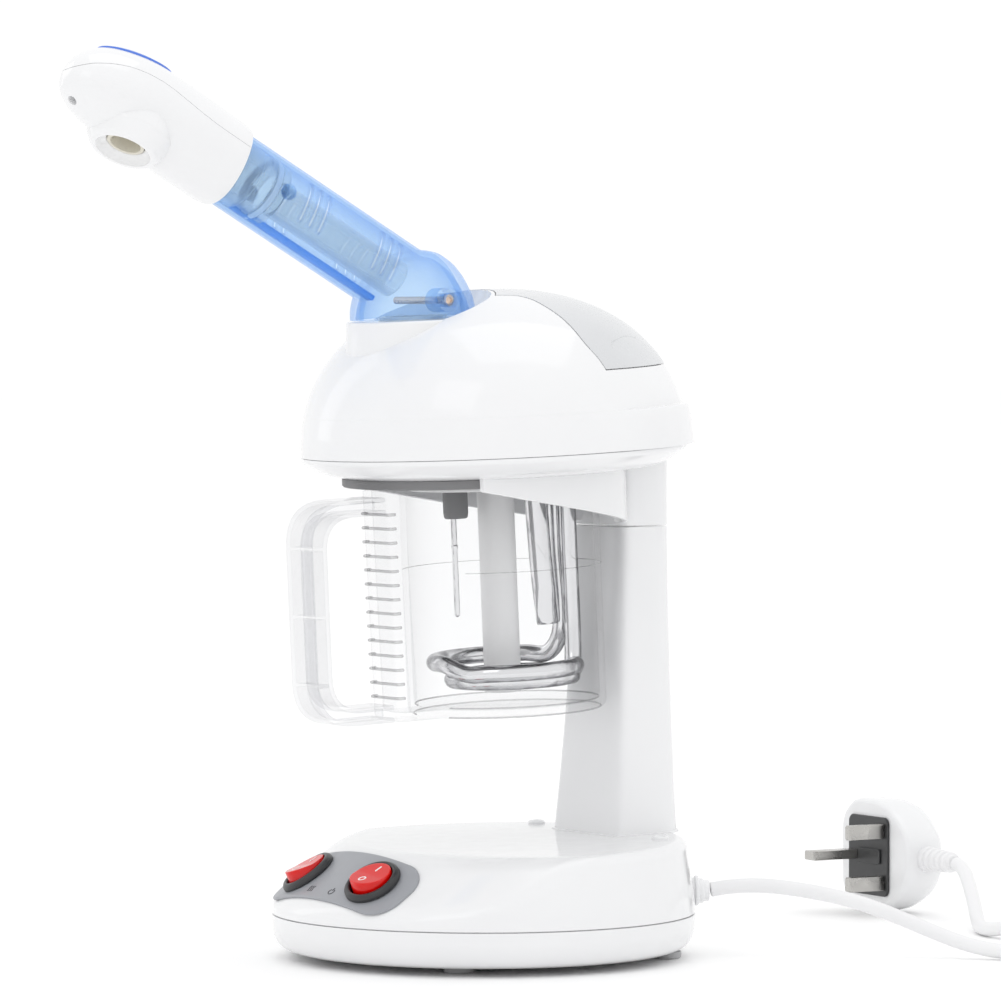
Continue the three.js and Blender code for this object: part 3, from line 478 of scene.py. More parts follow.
LEAD_ROUTE = [
    (246, 59.1, 9.1), (234.4, 59.1, 9), (225, 60.6, 7.2), (216, 65.2, 5), (209.4, 73, 3.5),
    (206.4, 84, 3.2), (206, 95, 4), (205.8, 105, 7), (205.2, 113.5, 12), (204, 121.5, 18),
    (202.3, 129.6, 23), (199.9, 136.2, 24.9),
]


def route(out, across, up):
    cos, sin = math.cos(CORD_HEADING), math.sin(CORD_HEADING)
    return Vector((out * cos - across * sin, out * sin + across * cos, up))


def smoothstep(low, high, value):
    t = min(1.0, max(0.0, (value - low) / (high - low)))
    return t * t * (3 - 2 * t)


def coil_points():
    """Turns in two flat layers: inwards on the lower one, and back out on the upper."""
    laps = COIL_RADII + COIL_RADII[::-1]
    low, high = COIL_LAYERS
    points = []
    for i in range(int(COIL_TURNS * COIL_STEPS) + 1):
        turns = i / COIL_STEPS
        lap = int(turns)
        step_over = smoothstep(0.72, 1.0, turns - lap)
        radius = laps[lap] + (laps[min(lap + 1, 5)] - laps[lap]) * step_over
        height = low + (high - low) * smoothstep(2.72, 3.0, turns)
        angle = -math.pi / 2 + TURN * turns
        points.append((COIL_OUT + radius * math.cos(angle), COIL_ACROSS + radius * math.sin(angle), height))
    return points


cord_line = smooth_path([route(*p) for p in CORD_ROUTE + coil_points()[::3] + LEAD_ROUTE], 4)
cord = tube("mains_cord", cord_line, CORD_RADIUS, sides=20)
piece(cord, CORD_WHITE, "stand", "power_cord", "plug_lead", "cord_coil")

GLAND = STAND @ shift(0, 0, GLAND_HEIGHT) @ turn(GLAND_ANGLE, "Z") @ turn(90, "Y")
gland = lathe("cord_gland_moulding", rounded([
    (0, 76), (5.2, 76), (5.2, 84.8, 0.4), (6.1, 85.2, 0.3), (6.1, 86.4, 0.5), (5.0, 86.8, 0.3),
    (4.9, 88.4, 0.3), (4.3, 88.8, 0.3), (4.1, 91, 0.5), (2.0, 91)], 3), GLAND, 48)
piece(gland, WHITE, "stand", "cord_gland")

# The plug's own frame: x towards its cord, y up, z the way its pins point.
plug_angle = CORD_HEADING + math.radians(PLUG_HEADING)
to_cord = Vector((math.cos(plug_angle), math.sin(plug_angle), 0))
to_pins = to_cord.cross(Vector((0, 0, 1)))
PLUG = Matrix((to_cord, (0, 0, 1), to_pins)).transposed().to_4x4()
PLUG.translation = STAND.translation + route(PLUG_OUT, PLUG_ACROSS, PLUG_HALF) * MM


def plug_outline():
    """The plug's face: flat where the cord leaves, and round at its other corners."""
    half = PLUG_HALF
    upper = rounded([(half + 1, 0), (half + 1, 9, 5), (19, 17, 7), (6, half - 1, 8),
                     (9 - half, half - 1, 8), (-half, half - 9, 8), (-half, 0)], 6)
    return upper + [(x, -y) for x, y in reversed(upper[1:-1])]


plug_rings = []
for depth, inset in ((10.5, 2.2), (10.3, 1.2), (9.4, 0.4), (7.6, 0), (-1, 0), (-4.5, 0.5), (-8, 2.2),
                     (-10, 4.6), (-10.5, 7.2)):
    scale = 1 - inset / 28
    plug_rings.append([(x * scale, y * scale, depth) for x, y in plug_outline()])
plug_body = loft("plug_moulding", plug_rings, PLUG)
piece(plug_body, WHITE, "stand", "plug_body", sharp=50)
plug_face = prism("plug_faceplate", rounded_outline(15, 17, 3), 10.6, 11.9, PLUG @ shift(-2, 0, 0), 0.4)
piece(plug_face, DARK, "stand", "plug_face")
fuse_cap = prism("plug_fuse_cap", rounded_outline(8.5, 3.2, 1), 11.9, 12.7, PLUG @ shift(-0.5, 0, 0), 0.3)
piece(fuse_cap, DARK, "stand")
for name, x, y, long, wide, reach in (("earth", -13, 0, 4, 2, 22.7), ("live", 9.2, 11.1, 2, 3.17, 17.7),
                                      ("neutral", 9.2, -11.1, 2, 3.17, 17.7)):
    blade = rounded_outline(long, wide, 0.5, 3)
    pin = prism("plug_blade_" + name, blade, 12.0, 12.1 + reach, PLUG @ shift(x, y, 0), 0.6)
    piece(pin, NICKEL, "stand", "plug_pin_" + name)
relief = [(0, 25.4), (5.6, 25.4)]
for rib in range(5):
    start = 26.6 + 3.9 * rib
    wide = 5.4 - 0.25 * rib
    relief += [(wide, start, 0.4), (wide, start + 2.1, 0.4)]
    relief += [(wide - 1.1, start + 2.5, 0.3), (wide - 1.1, start + 3.5, 0.3)]
relief += [(3.4, 46.8, 0.4), (0, 46.9)]
plug_relief = lathe("plug_bend_relief", rounded(relief, 3), PLUG @ turn(90, "Y"), 40)
piece(plug_relief, CORD_WHITE, "stand", "plug_relief")

# ---- Base ----

SEAM, BASE_RADIUS, BASE_TOP = 18.12, 85, 46.4
TOP_TILT = math.tan(math.radians(1.4))
SLOPE = math.radians(PANEL_SLOPE)


def base_height(x, y):
    """Top of the base: a nearly level plane running softly into the curved, sloping panel face."""
    plane = BASE_TOP + y * TOP_TILT
    across = math.sqrt(max(BEND ** 2 - x * x, 0))
    face = PANEL_Z + (y - PANEL_Y) * math.tan(SLOPE) - (BEND - across) / math.cos(SLOPE)
    softness = 5.0
    share = min(1.0, max(0.0, 0.5 + 0.5 * (face - plane) / softness))
    return face * (1 - share) + plane * share - softness * share * (1 - share)


def base_radius(z):
    """The wall draws in slightly above the seam, and more above the panel's foot."""
    return BASE_RADIUS - 0.0625 * (z - 18) if z < 26 else 84.5 - 0.147 * (z - 26)


BASE_SIDES, RIM_SOFT = 256, 4.2
WALL_ROWS, RIM_ROWS, TOP_ROWS = 7, 10, 40


def base_point(row, cos, sin):
    """A point of the base's skin: row 0 at the seam, then up the wall, round the rim and inwards."""
    edge = base_height(83 * cos, 83 * sin)
    rim = base_radius(edge)
    if row == 0:
        r, z = base_radius(SEAM) - 0.5, SEAM
    elif row <= WALL_ROWS:
        z = SEAM + 0.4 + (edge - RIM_SOFT - SEAM - 0.4) * (row - 1) / (WALL_ROWS - 1)
        r = base_radius(z)
    elif row <= WALL_ROWS + RIM_ROWS:
        t = (row - WALL_ROWS) / RIM_ROWS
        below, inside = edge - RIM_SOFT, rim - RIM_SOFT
        top = base_height(rim * cos, rim * sin)
        inner = base_height(inside * cos, inside * sin)
        r = base_radius(below) * (1 - t) ** 2 + rim * 2 * t * (1 - t) + inside * t * t
        z = below * (1 - t) ** 2 + top * 2 * t * (1 - t) + inner * t * t
    else:
        r = (rim - RIM_SOFT) * (1 - (row - WALL_ROWS - RIM_ROWS) / TOP_ROWS)
        z = base_height(r * cos, r * sin)
    return r * cos, r * sin, z


base_rings = [[base_point(row, cos, sin) for cos, sin in circle(BASE_SIDES)]
              for row in range(WALL_ROWS + RIM_ROWS + TOP_ROWS)]
base_rings.append([(0, 0, base_height(0, 0))] * BASE_SIDES)
base_top = loft("base_moulding", base_rings)


def on_panel(x, lift=0.0, tilt=0.0):
    """A frame on the bent panel face, x from its middle and square to it."""
    swing = turn(math.degrees(math.asin(x / BEND)), "Y")
    return PANEL @ shift(0, 0, -BEND) @ swing @ shift(0, 0, BEND + lift) @ turn(tilt, "X")


SWITCH_X = 24
wells = [cylinder("well", 10.5, -14, 12, on_panel(side * SWITCH_X), 64) for side in (-1, 1)]
solve(base_top, wells, keep=True)
piece(base_top, WHITE, "stand", "base_shell", sharp=42, weighted=True)

tray = lathe("base_tray_moulding", rounded([
    (0, 3.1), (76.5, 3.1, 3), (81.8, 5.2, 5), (84.7, 10.5, 5), (85, 17.85, 0.25), (84.4, 18.0),
    (0, 18.0)], 8), steps=256)
piece(tray, WHITE, "stand", "base_tray")
for i in range(1, 5):
    low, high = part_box("foot_%d" % i)
    middle = (low + high) / 2
    foot = lathe("foot_pad_%d" % i, rounded([
        (0, 0.6), (3, 0.6, 0.4), (3.6, 0, 0.4), (5.4, 0, 0.6), (6, 1.2, 0.5), (6, 2.9), (0, 2.9)], 3),
        Matrix.Translation((middle.x, middle.y, 0)), 48)
    piece(foot, GREY_RUBBER, "stand", "foot_%d" % i)
for side, name in SIDES:
    spot = STAND @ shift(side * 45, 55, BASE_TOP + 55 * TOP_TILT) @ turn(1.4, "X")
    cap = lathe("screw_plug_" + name, rounded([
        (0, -0.4), (3.5, -0.4), (3.5, 0.9, 0.5), (2.5, 1.5, 0.4), (2.2, 1.0, 0.3), (0, 0.9)], 4), spot, 48)
    piece(cap, WHITE, "stand", "screw_cap_" + name)

# ---- Control panel and switches ----

PLATE_RISE = 1.08
plate_levels = [(0.02, 0, 0.12), (0.5, 0, 0.12), (1, 0, 0.12), (1, -0.05, 0.85), (1, 0.2, 1.02)]
plate_levels += [(1, 0.5, PLATE_RISE)]
plate_levels += [(scale, 0, PLATE_RISE) for scale in (0.9, 0.75, 0.55, 0.35, 0.15, 0.02)]
panel_rings = []
for scale, inset, lift in plate_levels:
    outline = refined(rounded_outline(43 - inset, 14.6 - inset, 11.5 - inset, 14), 3.2)
    panel_rings.append([(x * scale, y * scale, math.sqrt((BEND + lift) ** 2 - (x * scale) ** 2) - BEND)
                        for x, y in outline])
panel = loft("panel_plate", panel_rings, PANEL)
solve(panel, wells)
piece(panel, PANEL_GREY, "stand", "control_panel", weighted=True)

BEZEL_LIFT, ROCKER_PIVOT, ROCKER_TILT, VALLEY = 1.8, -0.4, 12, 5
ROCKER_LOW, ROCKER_HIGH = -2.6, 3.85
UNDER = ((0.01, 0), (8.1, 0), (8.4, 0.35))
OVER = ((8.4, -0.45), (8.32, -0.12), (8.12, 0), (7.6, 0), (6.9, 0), (5.5, 0), (4, 0), (2.5, 0), (1, 0),
        (0.01, 0))
MARK_THICK = 0.16
valley_slant = math.tan(math.radians(VALLEY))


def rocker_ring(radius, lift, on_top):
    """A ring of the rocker: level below, and following the shallow valley of its face on top."""
    ring = []
    for i in range(72):
        angle = TURN * (i + 0.5) / 72
        x, y = radius * math.cos(angle), radius * math.sin(angle)
        face = ROCKER_HIGH + valley_slant * (math.sqrt(y * y + 0.6) - 0.77)
        ring.append((x, y, (face if on_top else ROCKER_LOW) + lift))
    return ring


for side, name in ((-1, "ozone"), (1, "power")):
    body = lathe(name + "_switch_body", rounded([
        (0, -15), (10.1, -15), (10.1, -0.75, 0.3), (11.75, -0.75, 0.3), (11.75, 0.9, 0.8),
        (10.4, 2.1, 0.8), (9.4, 2.0, 0.5), (9.1, 1.2, 0.3), (9.1, -5.2), (0, -5.2)], 5),
        on_panel(side * SWITCH_X, BEZEL_LIFT), 80)
    piece(body, DARK, "stand", name + "_switch")

    seat = on_panel(side * SWITCH_X, BEZEL_LIFT + ROCKER_PIVOT, -ROCKER_TILT)
    rings = [rocker_ring(*level, False) for level in UNDER] + [rocker_ring(*level, True) for level in OVER]
    rocker = loft(name + "_rocker_button", rings, seat)
    piece(rocker, RED, name + "_button", name + "_rocker", sharp=40)
    for mark, place_y in (("on", 4.3), ("off", -4.1)):
        lift = ROCKER_HIGH + valley_slant * (abs(place_y) - 0.77) - 0.03
        spot = seat @ shift(0, place_y, lift) @ turn(VALLEY if place_y > 0 else -VALLEY, "X")
        if mark == "on":
            bar = rounded_outline(0.36, 1.75, 0.3, 3)
            sign = prism(name + "_mark_on", bar, 0, MARK_THICK, spot, 0.05)
        else:
            sign = lathe(name + "_mark_off", ring_profile(1.15, 1.8, 0, MARK_THICK, 0.06), spot, 40)
            for vertex in sign.data.vertices:
                local = spot.inverted() @ vertex.co
                local.x *= 0.82
                vertex.co = spot @ local
        piece(sign, MARK, name + "_button")


def panel_mark(name, points, x, y, width):
    """A small printed line on the panel plate."""
    lift = PLATE_RISE - (BEND - math.sqrt(BEND ** 2 - x * x))
    path = [Vector((x + px, y + py, lift - (px * x) / BEND)) for px, py in points]
    return piece(tube(name, path, width, PANEL, 8), INK, "stand")


ICON_X, ICON_Y = 7.6, -9.6
arc = [(1.5 * math.cos(math.radians(a)), 1.5 * math.sin(math.radians(a))) for a in range(130, 411, 14)]
panel_mark("icon_power_ring", arc, ICON_X, ICON_Y, 0.2)
panel_mark("icon_power_bar", [(0, 0.5), (0, 1.2), (0, 2.1)], ICON_X, ICON_Y, 0.2)
for k in range(3):
    wave = [(0.35 * math.sin(step * 0.9), -1.6 + 0.4 * step) for step in range(9)]
    panel_mark("icon_steam_%d" % k, wave, -9.0 + 1.4 * k, ICON_Y, 0.18)

# ---- Column and cradle ----


def column_section(z, grow=0.0, sides=112):
    """The column across at height z: flared at its foot, flatter in front than at the rear."""
    t = min(1.0, max(0.0, (z - 47.4) / 124.6))
    flare = (1 - t) ** 2
    half = 19.4 + (1 - t) + 4.1 * flare + grow
    front = 55.2 - 4 * (1 - t) - 3.3 * flare - grow
    rear = 80.4 + 2 * (1 - t) + 1.6 * flare + grow
    middle = front + 10
    ring = []
    for cos, sin in circle(sides):
        power = 2 / 7 if sin < 0 else 2 / 3.8
        depth = middle - front if sin < 0 else rear - middle
        ring.append((half * math.copysign(abs(cos) ** power, cos),
                     middle + depth * math.copysign(abs(sin) ** power, sin), z))
    return ring


def column_foot(z, grow, lift):
    """The column's section laid on the base's tilted top and raised by lift."""
    return [(x, y, BASE_TOP + y * TOP_TILT + lift) for x, y, _ in column_section(z, grow)]


column_rings = [column_foot(47.0, 0.0, -0.4)] + [column_section(46.0 + 5 * i) for i in range(1, 25)]
column_rings += [column_section(171.5), column_section(171.9, -0.35)]
column = loft("column_moulding", column_rings)
piece(column, WHITE, "stand", "column_lower", sharp=40)
foot_line = loft("column_foot_line", [column_foot(47.4, grow, lift) for grow, lift in (
    (0.1, -0.5), (0.75, -0.4), (0.75, 0.25), (0.45, 0.5), (0.1, 0.55))])
piece(foot_line, WHITE, "stand")

CHEEK_MIDDLE, CHEEK_HALF, CHEEK_FRONT, CHEEK_TOP, CHEEK_LOW = 50, 1.2, -38.7, -7.9, -13.6
CHEEK_SLOPE = math.tan(math.radians(12.1))
straight = [CHEEK_FRONT + 40 * i / 14 for i in range(15)]
wall_line = [(CHEEK_MIDDLE, y, 0) for y in straight]
wall_line += [(CHEEK_MIDDLE * math.cos(a), JAR_Y + CHEEK_MIDDLE * math.sin(a), a)
              for a in [math.pi * i / 64 for i in range(65)]]
wall_line += [(-CHEEK_MIDDLE, y, math.pi) for y in reversed(straight)]
wall_rings = []
for x, y, angle in wall_line:
    out = Vector((math.cos(angle), math.sin(angle)))
    low = CHEEK_LOW - CHEEK_SLOPE * (y - CHEEK_FRONT)
    section = rounded([(0, CHEEK_TOP), (CHEEK_HALF, CHEEK_TOP), (CHEEK_HALF, low, 0.9),
                       (-CHEEK_HALF, low, 0.9), (-CHEEK_HALF, CHEEK_TOP), (0, CHEEK_TOP)], 3)[:-1]
    wall_rings.append([(x + out.x * off, y + out.y * off, z) for off, z in section])
cradle = loft("cradle_moulding", wall_rings, HEAD)
stub = loft("stub", [column_section(172.25, -0.3), *map(column_section, (172.6, 186, 202))])
solve(cradle, [stub], "UNION")
bevel(cradle, 0.5, 2, 60)
piece(cradle, WHITE, "stand", "jar_cradle", weighted=True)

# ---- Head ----

DOME_RADIUS, DOME_HEIGHT, DOME_CURVE = 77.4, 64, 2.2
LEDGE, LEDGE_PROUD = 16, 2.6


def dome(name, offset, sides=192, band=True, low=0.0):
    """The head's outer form; the rear of its lower band stands slightly proud under a small ledge."""
    radius, height = DOME_RADIUS + offset, DOME_HEIGHT + offset
    power = 2 / DOME_CURVE
    levels = []
    for step in range(64):
        angle = step / 64 * math.pi / 2
        levels.append((radius * math.cos(angle) ** power, height * math.sin(angle) ** power))
    levels.append((0, height))
    at_ledge = radius * (1 - (LEDGE / height) ** DOME_CURVE) ** (1 / DOME_CURVE)
    rows = [(r, z, 1.0) for r, z in levels if z < LEDGE - 0.9]
    rows += [(at_ledge + 0.05, LEDGE - 0.6, 1.0), (at_ledge, LEDGE - 0.1, 0.85),
             (at_ledge, LEDGE + 0.1, 0.15), (at_ledge - 0.05, LEDGE + 0.5, 0.0)]
    rows += [(r, z, 0.0) for r, z in levels if z > LEDGE + 0.7]
    points = []
    for cos, sin in circle(sides):
        points.append((0, 0, low))
        for r, z, proud in rows:
            grown = r + (LEDGE_PROUD * proud * smoothstep(2, 34, r * sin) if band else 0)
            points.append((grown * cos, grown * sin, z if z > 0 else low))
    return mesh_object(name, points, spun_faces(len(rows) + 1, sides), HEAD)


collar = lathe("collar", rounded([
    (0, 24), (28.2, 24), (27.7, 34, 4), (26.7, 50, 6), (26.6, 53.8, 1.1), (0, 53.8)], 6), COLLAR, 144)
head = dome("dome_moulding", 0)
solve(head, [collar], "UNION")
recess = lathe("recess", [
    (0, COLLAR_TOP), (25.9, COLLAR_TOP), (27.0, 54.9), (29.2, 57.6), (31.2, 61), (32.4, 68), (0, 68)],
    COLLAR, 144)
solve(head, [recess])
PANEL_PLAN = [(13, -22), (16.6, -17.2), (21.6, -8.2, 5), (24.2, -2.8, 5), (30.5, 0.2, 5),
              (39.5, 1.2, 6), (47.5, 2.8, 6), (56, 3.9, 6), (61.6, 4.7, 4), (68.2, 9.2, 5), (90, 16),
              (90, 90)]


def rear_region(name, shrink):
    """The block that the rear panel fills, behind its stepped front line and clear of the collar."""
    right = rounded([(p[0] + 0.3 * shrink, p[1] + shrink, *p[2:]) for p in PANEL_PLAN], 5)
    outline = right + [(-x, y) for x, y in reversed(right)]
    region = prism(name, outline, 31.6 + shrink, 90, HEAD)
    return solve(region, [cylinder("around", 33 + shrink, 20, 95, COLLAR, 144)])


pocket = solve(rear_region("pocket", 0), [dome("under", -1.3, band=False, low=-2)])
solve(head, [pocket])
bevel(head, 0.45, 2, 34)
piece(head, WHITE, "stand", "head_dome", sharp=40, weighted=True)
lid = solve(dome("rear_panel_moulding", 0.15, band=False), [rear_region("lid", 0.45)], "INTERSECT")
solve(lid, [dome("under", -1.1, band=False, low=-2)])
bevel(lid, 0.35, 2, 34)
piece(lid, PALE_GREY, "stand", "rear_panel", sharp=40, weighted=True)


def on_dome(x, y, lift):
    radius = math.hypot(x, y)
    height = DOME_HEIGHT * (1 - (radius / DOME_RADIUS) ** DOME_CURVE) ** (1 / DOME_CURVE)
    return Vector((x, y, height)) + Vector((x / 20, y / 20, 1)).normalized() * lift


for side, name in SIDES:
    line = smooth_path([on_dome(side * x, y, 0.16) for x, y in
                        ((66.0, 20.0), (59.5, 18.5), (55.5, 24.0), (51.0, 31.0), (47.3, 38.2))], 6)
    piece(tube("lid_line_" + name, line, 0.16, HEAD, 8), PALE_GREY, "stand")

LIP = [(0, -0.15), (76.8, -0.15), (77.4, -0.3, 0.3), (77.0, -2.0, 1.2), (74.2, -4.0, 3), (70.2, -6.4, 3),
       (66.0, -7.9, 2), (60, -9.0), (0, -9.0)]
underside = lathe("head_tray_moulding", rounded(LIP, 4), HEAD, 192)
piece(underside, WHITE, "stand", "head_tray")

FRONT_RADIUS, REAR_RADIUS, FRONT_SWEEP = 61.4, 47.8, math.radians(51.7)
plate_line = [(FRONT_RADIUS * math.sin(a), -FRONT_RADIUS * math.cos(a))
              for a in [FRONT_SWEEP * (i / 24 - 0.5) * 2 for i in range(25)]]
plate_line += [(REAR_RADIUS * math.cos(a), JAR_Y + REAR_RADIUS * math.sin(a))
               for a in [math.pi * i / 48 for i in range(49)]]
plate = prism("gasket_moulding", plate_line, -12.4, -8.6, HEAD, 0.5)
piece(plate, DARK_RUBBER, "stand", "gasket_plate")
seal = lathe("jar_seal_ring", ring_profile(34.6, 36.8, -15, -12.6, 0.7), HEAD @ shift(0, JAR_Y, 0), 96)
piece(seal, SILICONE, "stand", "jar_seal")

# ---- Heater, sensor and pipe ----

HEATER_TUBE, LEG_X, LEG_Y, UPPER, LOWER = 3.4, 4.6, 31, -84.5, -91.8
heater_line = [(-LEG_X, LEG_Y, 4), (-LEG_X, LEG_Y, -40), (-LEG_X, LEG_Y, UPPER + 8)]
for radius, back, height, start, end, steps in (
        (29, 0, UPPER, -22, -180, 8), (28, 1, (UPPER + LOWER) / 2, -202, -330, 5),
        (25, 3.5, LOWER, -350, -520, 6), (24.5, 3.5, LOWER, -540, -698, 6)):
    for step in range(steps + 1):
        angle = math.radians(start + (end - start) * step / steps)
        across = radius * math.sin(angle) * 0.93
        heater_line.append((across, JAR_Y + back + radius * math.cos(angle), height))
heater_line += [(LEG_X, LEG_Y, LOWER + 9), (LEG_X, LEG_Y, -40), (LEG_X, LEG_Y, 4)]
heater = tube("heater_tube", smooth_path(heater_line, 7), HEATER_TUBE, HEAD, 32)
piece(heater, STEEL, "stand", "heater_coil")
well_rings = [[(half_x * cos, back + half_y * sin, z) for cos, sin in circle(48)]
              for z, half_x, half_y, back in (
                  (3.2, 4.6, 4.6, 18.5), (-20, 4.6, 4.6, 18.9), (-45, 4.6, 4.6, 20.1),
                  (-57, 4.4, 4.7, 21.0), (-62, 3.4, 4.9, 21.4), (-66, 2.2, 5.0, 21.8),
                  (-71, 2.0, 5.0, 22.2), (-72, 1.5, 4.6, 22.2))]
piece(loft("thermostat_tube", well_rings, HEAD), STEEL, "stand", "thermostat_well")
pipe = lathe("water_tube", ring_profile(5.4, 7.4, -97.4, 3, 0.5), HEAD @ shift(0, JAR_Y - 1.6, 0), 64)
piece(pipe, SILICONE, "stand", "water_pipe")
boss = lathe("probe_holder", rounded([
    (1.4, 0), (5, 0), (5, -24.4, 0.6), (4.6, -26.6, 0.8), (1.4, -26.6), (1.4, 0)], 4),
    HEAD @ shift(0, -19.4, 0), 48)
piece(boss, DARK_RUBBER, "stand", "probe_boss")
probe = lathe("probe_pin", rounded([
    (0, 6), (1.1, 6), (1.1, -37, 0.2), (1.3, -37.5, 0.2), (1.3, -38.3, 0.2), (1.1, -38.8, 0.2),
    (1.1, -65.4, 0.6), (0, -66)], 3), HEAD @ shift(0, -20.6, 0), 32)
piece(probe, STEEL, "stand", "level_probe")

# ---- Jar ----

JAR_TOP, JAR_BOTTOM, JAR_WALL, BAY_FRONT, BAY_HALF = -13, -105, 2.5, -57.4, 10.3


def bay_front(z):
    """How far forward the handle's bay reaches at height z."""
    return BAY_FRONT + 1.3 * (1 - (z - JAR_BOTTOM) / (JAR_TOP - JAR_BOTTOM))


def jar_section(z, inset):
    """The jar across at height z: most of a circle, with the narrow bay that carries the handle."""
    radius = 40 - inset
    join = 11.5 + 10.2 * (z - JAR_BOTTOM) / (JAR_TOP - JAR_BOTTOM) - inset
    half = BAY_HALF - inset
    front = bay_front(z) + inset
    start = math.asin(join / radius)
    ring = []
    for i in range(133):
        angle = start + (TURN - 2 * start) * i / 132
        ring.append((radius * math.sin(angle), JAR_Y - radius * math.cos(angle), z))
    corner = 2.6
    for side in (-1, 1):
        bend = [(side * (half - corner + corner * math.sin(a)), front + corner - corner * math.cos(a), z)
                for a in [math.pi / 2 * k / 6 for k in range(7)]]
        ring += bend if side > 0 else list(reversed(bend))
    return ring


FOOT_RISE, FOOT_INSET = 3.2, 3.4
jar_rings = []
for k in range(7):
    a = math.pi / 2 * k / 6
    z = JAR_BOTTOM + FOOT_RISE * (1 - math.cos(a))
    jar_rings.append(jar_section(z, FOOT_INSET * (1 - math.sin(a))))
for k in range(1, 12):
    z = JAR_BOTTOM + FOOT_RISE + (JAR_TOP - 0.5 - JAR_BOTTOM - FOOT_RISE) * k / 11
    jar_rings.append(jar_section(z, 0))
jar_rings += [jar_section(JAR_TOP, 0.5), jar_section(JAR_TOP, JAR_WALL - 0.4)]
for k in range(12):
    jar_rings.append(jar_section(JAR_TOP - 0.4 - (JAR_TOP - 0.4 - JAR_BOTTOM - 6) * k / 11, JAR_WALL))
jar_rings += [jar_section(JAR_BOTTOM + 4.2, JAR_WALL + 0.5), jar_section(JAR_BOTTOM + 3.3, JAR_WALL + 2.2)]
jar = loft("jar_moulding", jar_rings, HEAD)
piece(jar, CLEAR, "jar", "jar_body", sharp=30)

RIB_TOP, RIB_PITCH, RIB_HALF = -22.4, 5.6, BAY_HALF + 0.1
for k in range(14):
    z = RIB_TOP - RIB_PITCH * k
    front = bay_front(z)
    line = rounded([(RIB_HALF, front + 3.0), (RIB_HALF, front - 0.05, 2.6),
                    (-RIB_HALF, front - 0.05, 2.6), (-RIB_HALF, front + 3.0)], 6)
    rib = tube("jar_rib_%02d" % (k + 1), [Vector((x, y, z)) for x, y in line], 0.6, HEAD, 12)
    piece(rib, EDGE, "jar")
line = [Vector(p) for p in jar_section(-47, -0.02)][4:-18]
piece(tube("jar_fill_mark", line, 0.14, HEAD, 8), EDGE, "jar")
for name, height, inset in (("jar_floor_ring", JAR_BOTTOM + 4.2, JAR_WALL + 0.6),
                            ("jar_foot_ring", JAR_BOTTOM + 0.5, 2.4)):
    line = [Vector(p) for p in jar_section(height, inset)[2:131]]
    piece(tube(name, line, 0.32, HEAD, 10), EDGE, "jar")

WALL_Y = BAY_FRONT - 0.3


def flat_sweep(name, path, half_width, thick):
    """Flat strap that follows a path in the middle plane; path points are (y, z)."""
    rings = []
    last = len(path) - 1
    for i, (y, z) in enumerate(path):
        heading = Vector(path[min(i + 1, last)]) - Vector(path[max(i - 1, 0)])
        normal = Vector((-heading.y, heading.x)).normalized()
        half_thick = thick / 2
        section = rounded([(0, -half_thick), (half_width, -half_thick, 0.6), (half_width, half_thick, 0.6),
                           (-half_width, half_thick, 0.6), (-half_width, -half_thick, 0.6),
                           (0, -half_thick)], 3)[:-1]
        rings.append([(x, y + normal.x * off, z + normal.y * off) for x, off in section])
    return loft(name, rings, HEAD)


def handle_line(top, out, low, bend_top, bend_low):
    """Round the handle from the jar's wall to its wall again, as (y, z)."""
    return rounded([(WALL_Y, top), (out, top, bend_top), (out, low, bend_low), (WALL_Y, low)], 12)


handle = flat_sweep("jar_handle_moulding", handle_line(-16.4, -92.7, -103.6, 30, 21), 9, 1.8)
handle_parts = [flat_sweep("inner_strap", handle_line(-21.4, -86.3, -98.6, 18, 14), 9, 1.8)]
web_rings = [[(x, *outer) for x in (-0.8, 0.8)] + [(x, *inner) for x in (0.8, -0.8)]
             for outer, inner in zip(handle_line(-17.4, -91.7, -102.6, 29, 20),
                                     handle_line(-20.4, -87.3, -99.6, 19, 15))]
handle_parts.append(loft("web", web_rings, HEAD))
for z in (-33.9, -60.8, -87.7):
    outline = [(-8.6, -91.9), (8.6, -91.9), (8.6, -87.1), (-8.6, -87.1)]
    handle_parts.append(prism("cross", outline, z - 0.7, z + 0.7, HEAD))
solve(handle, handle_parts, "UNION")
bevel(handle, 0.3, 2, 50)
piece(handle, HANDLE, "jar", "jar_handle", weighted=True)

# ---- Elbow arm ----

BELL = [(25, 0), (24.8, 4), (24, 7.8), (22.8, 11), (20.8, 15.2), (19, 18), (16.8, 20.8), (13.8, 23.4),
        (10.8, 25.4), (5, 26.8), (0, 27)]
BELL_FLOOR = 54.3
ARM_RADIUS, ARM_WALL, ARM_LENGTH = 15.3, 2.0, 103.8



def bell(name, inset):
    """The bell drawn in by inset; a drawn-in one also reaches down to open the floor."""
    curve = [(max(p.x - inset, 0), p.y - inset + BELL_FLOOR)
             for p in smooth_path([(r, h, 0) for r, h in BELL], 4)]
    if inset:
        curve[0] = (curve[0][0], 50)
    return lathe(name, [(0, curve[0][1])] + curve, COLLAR, 128)


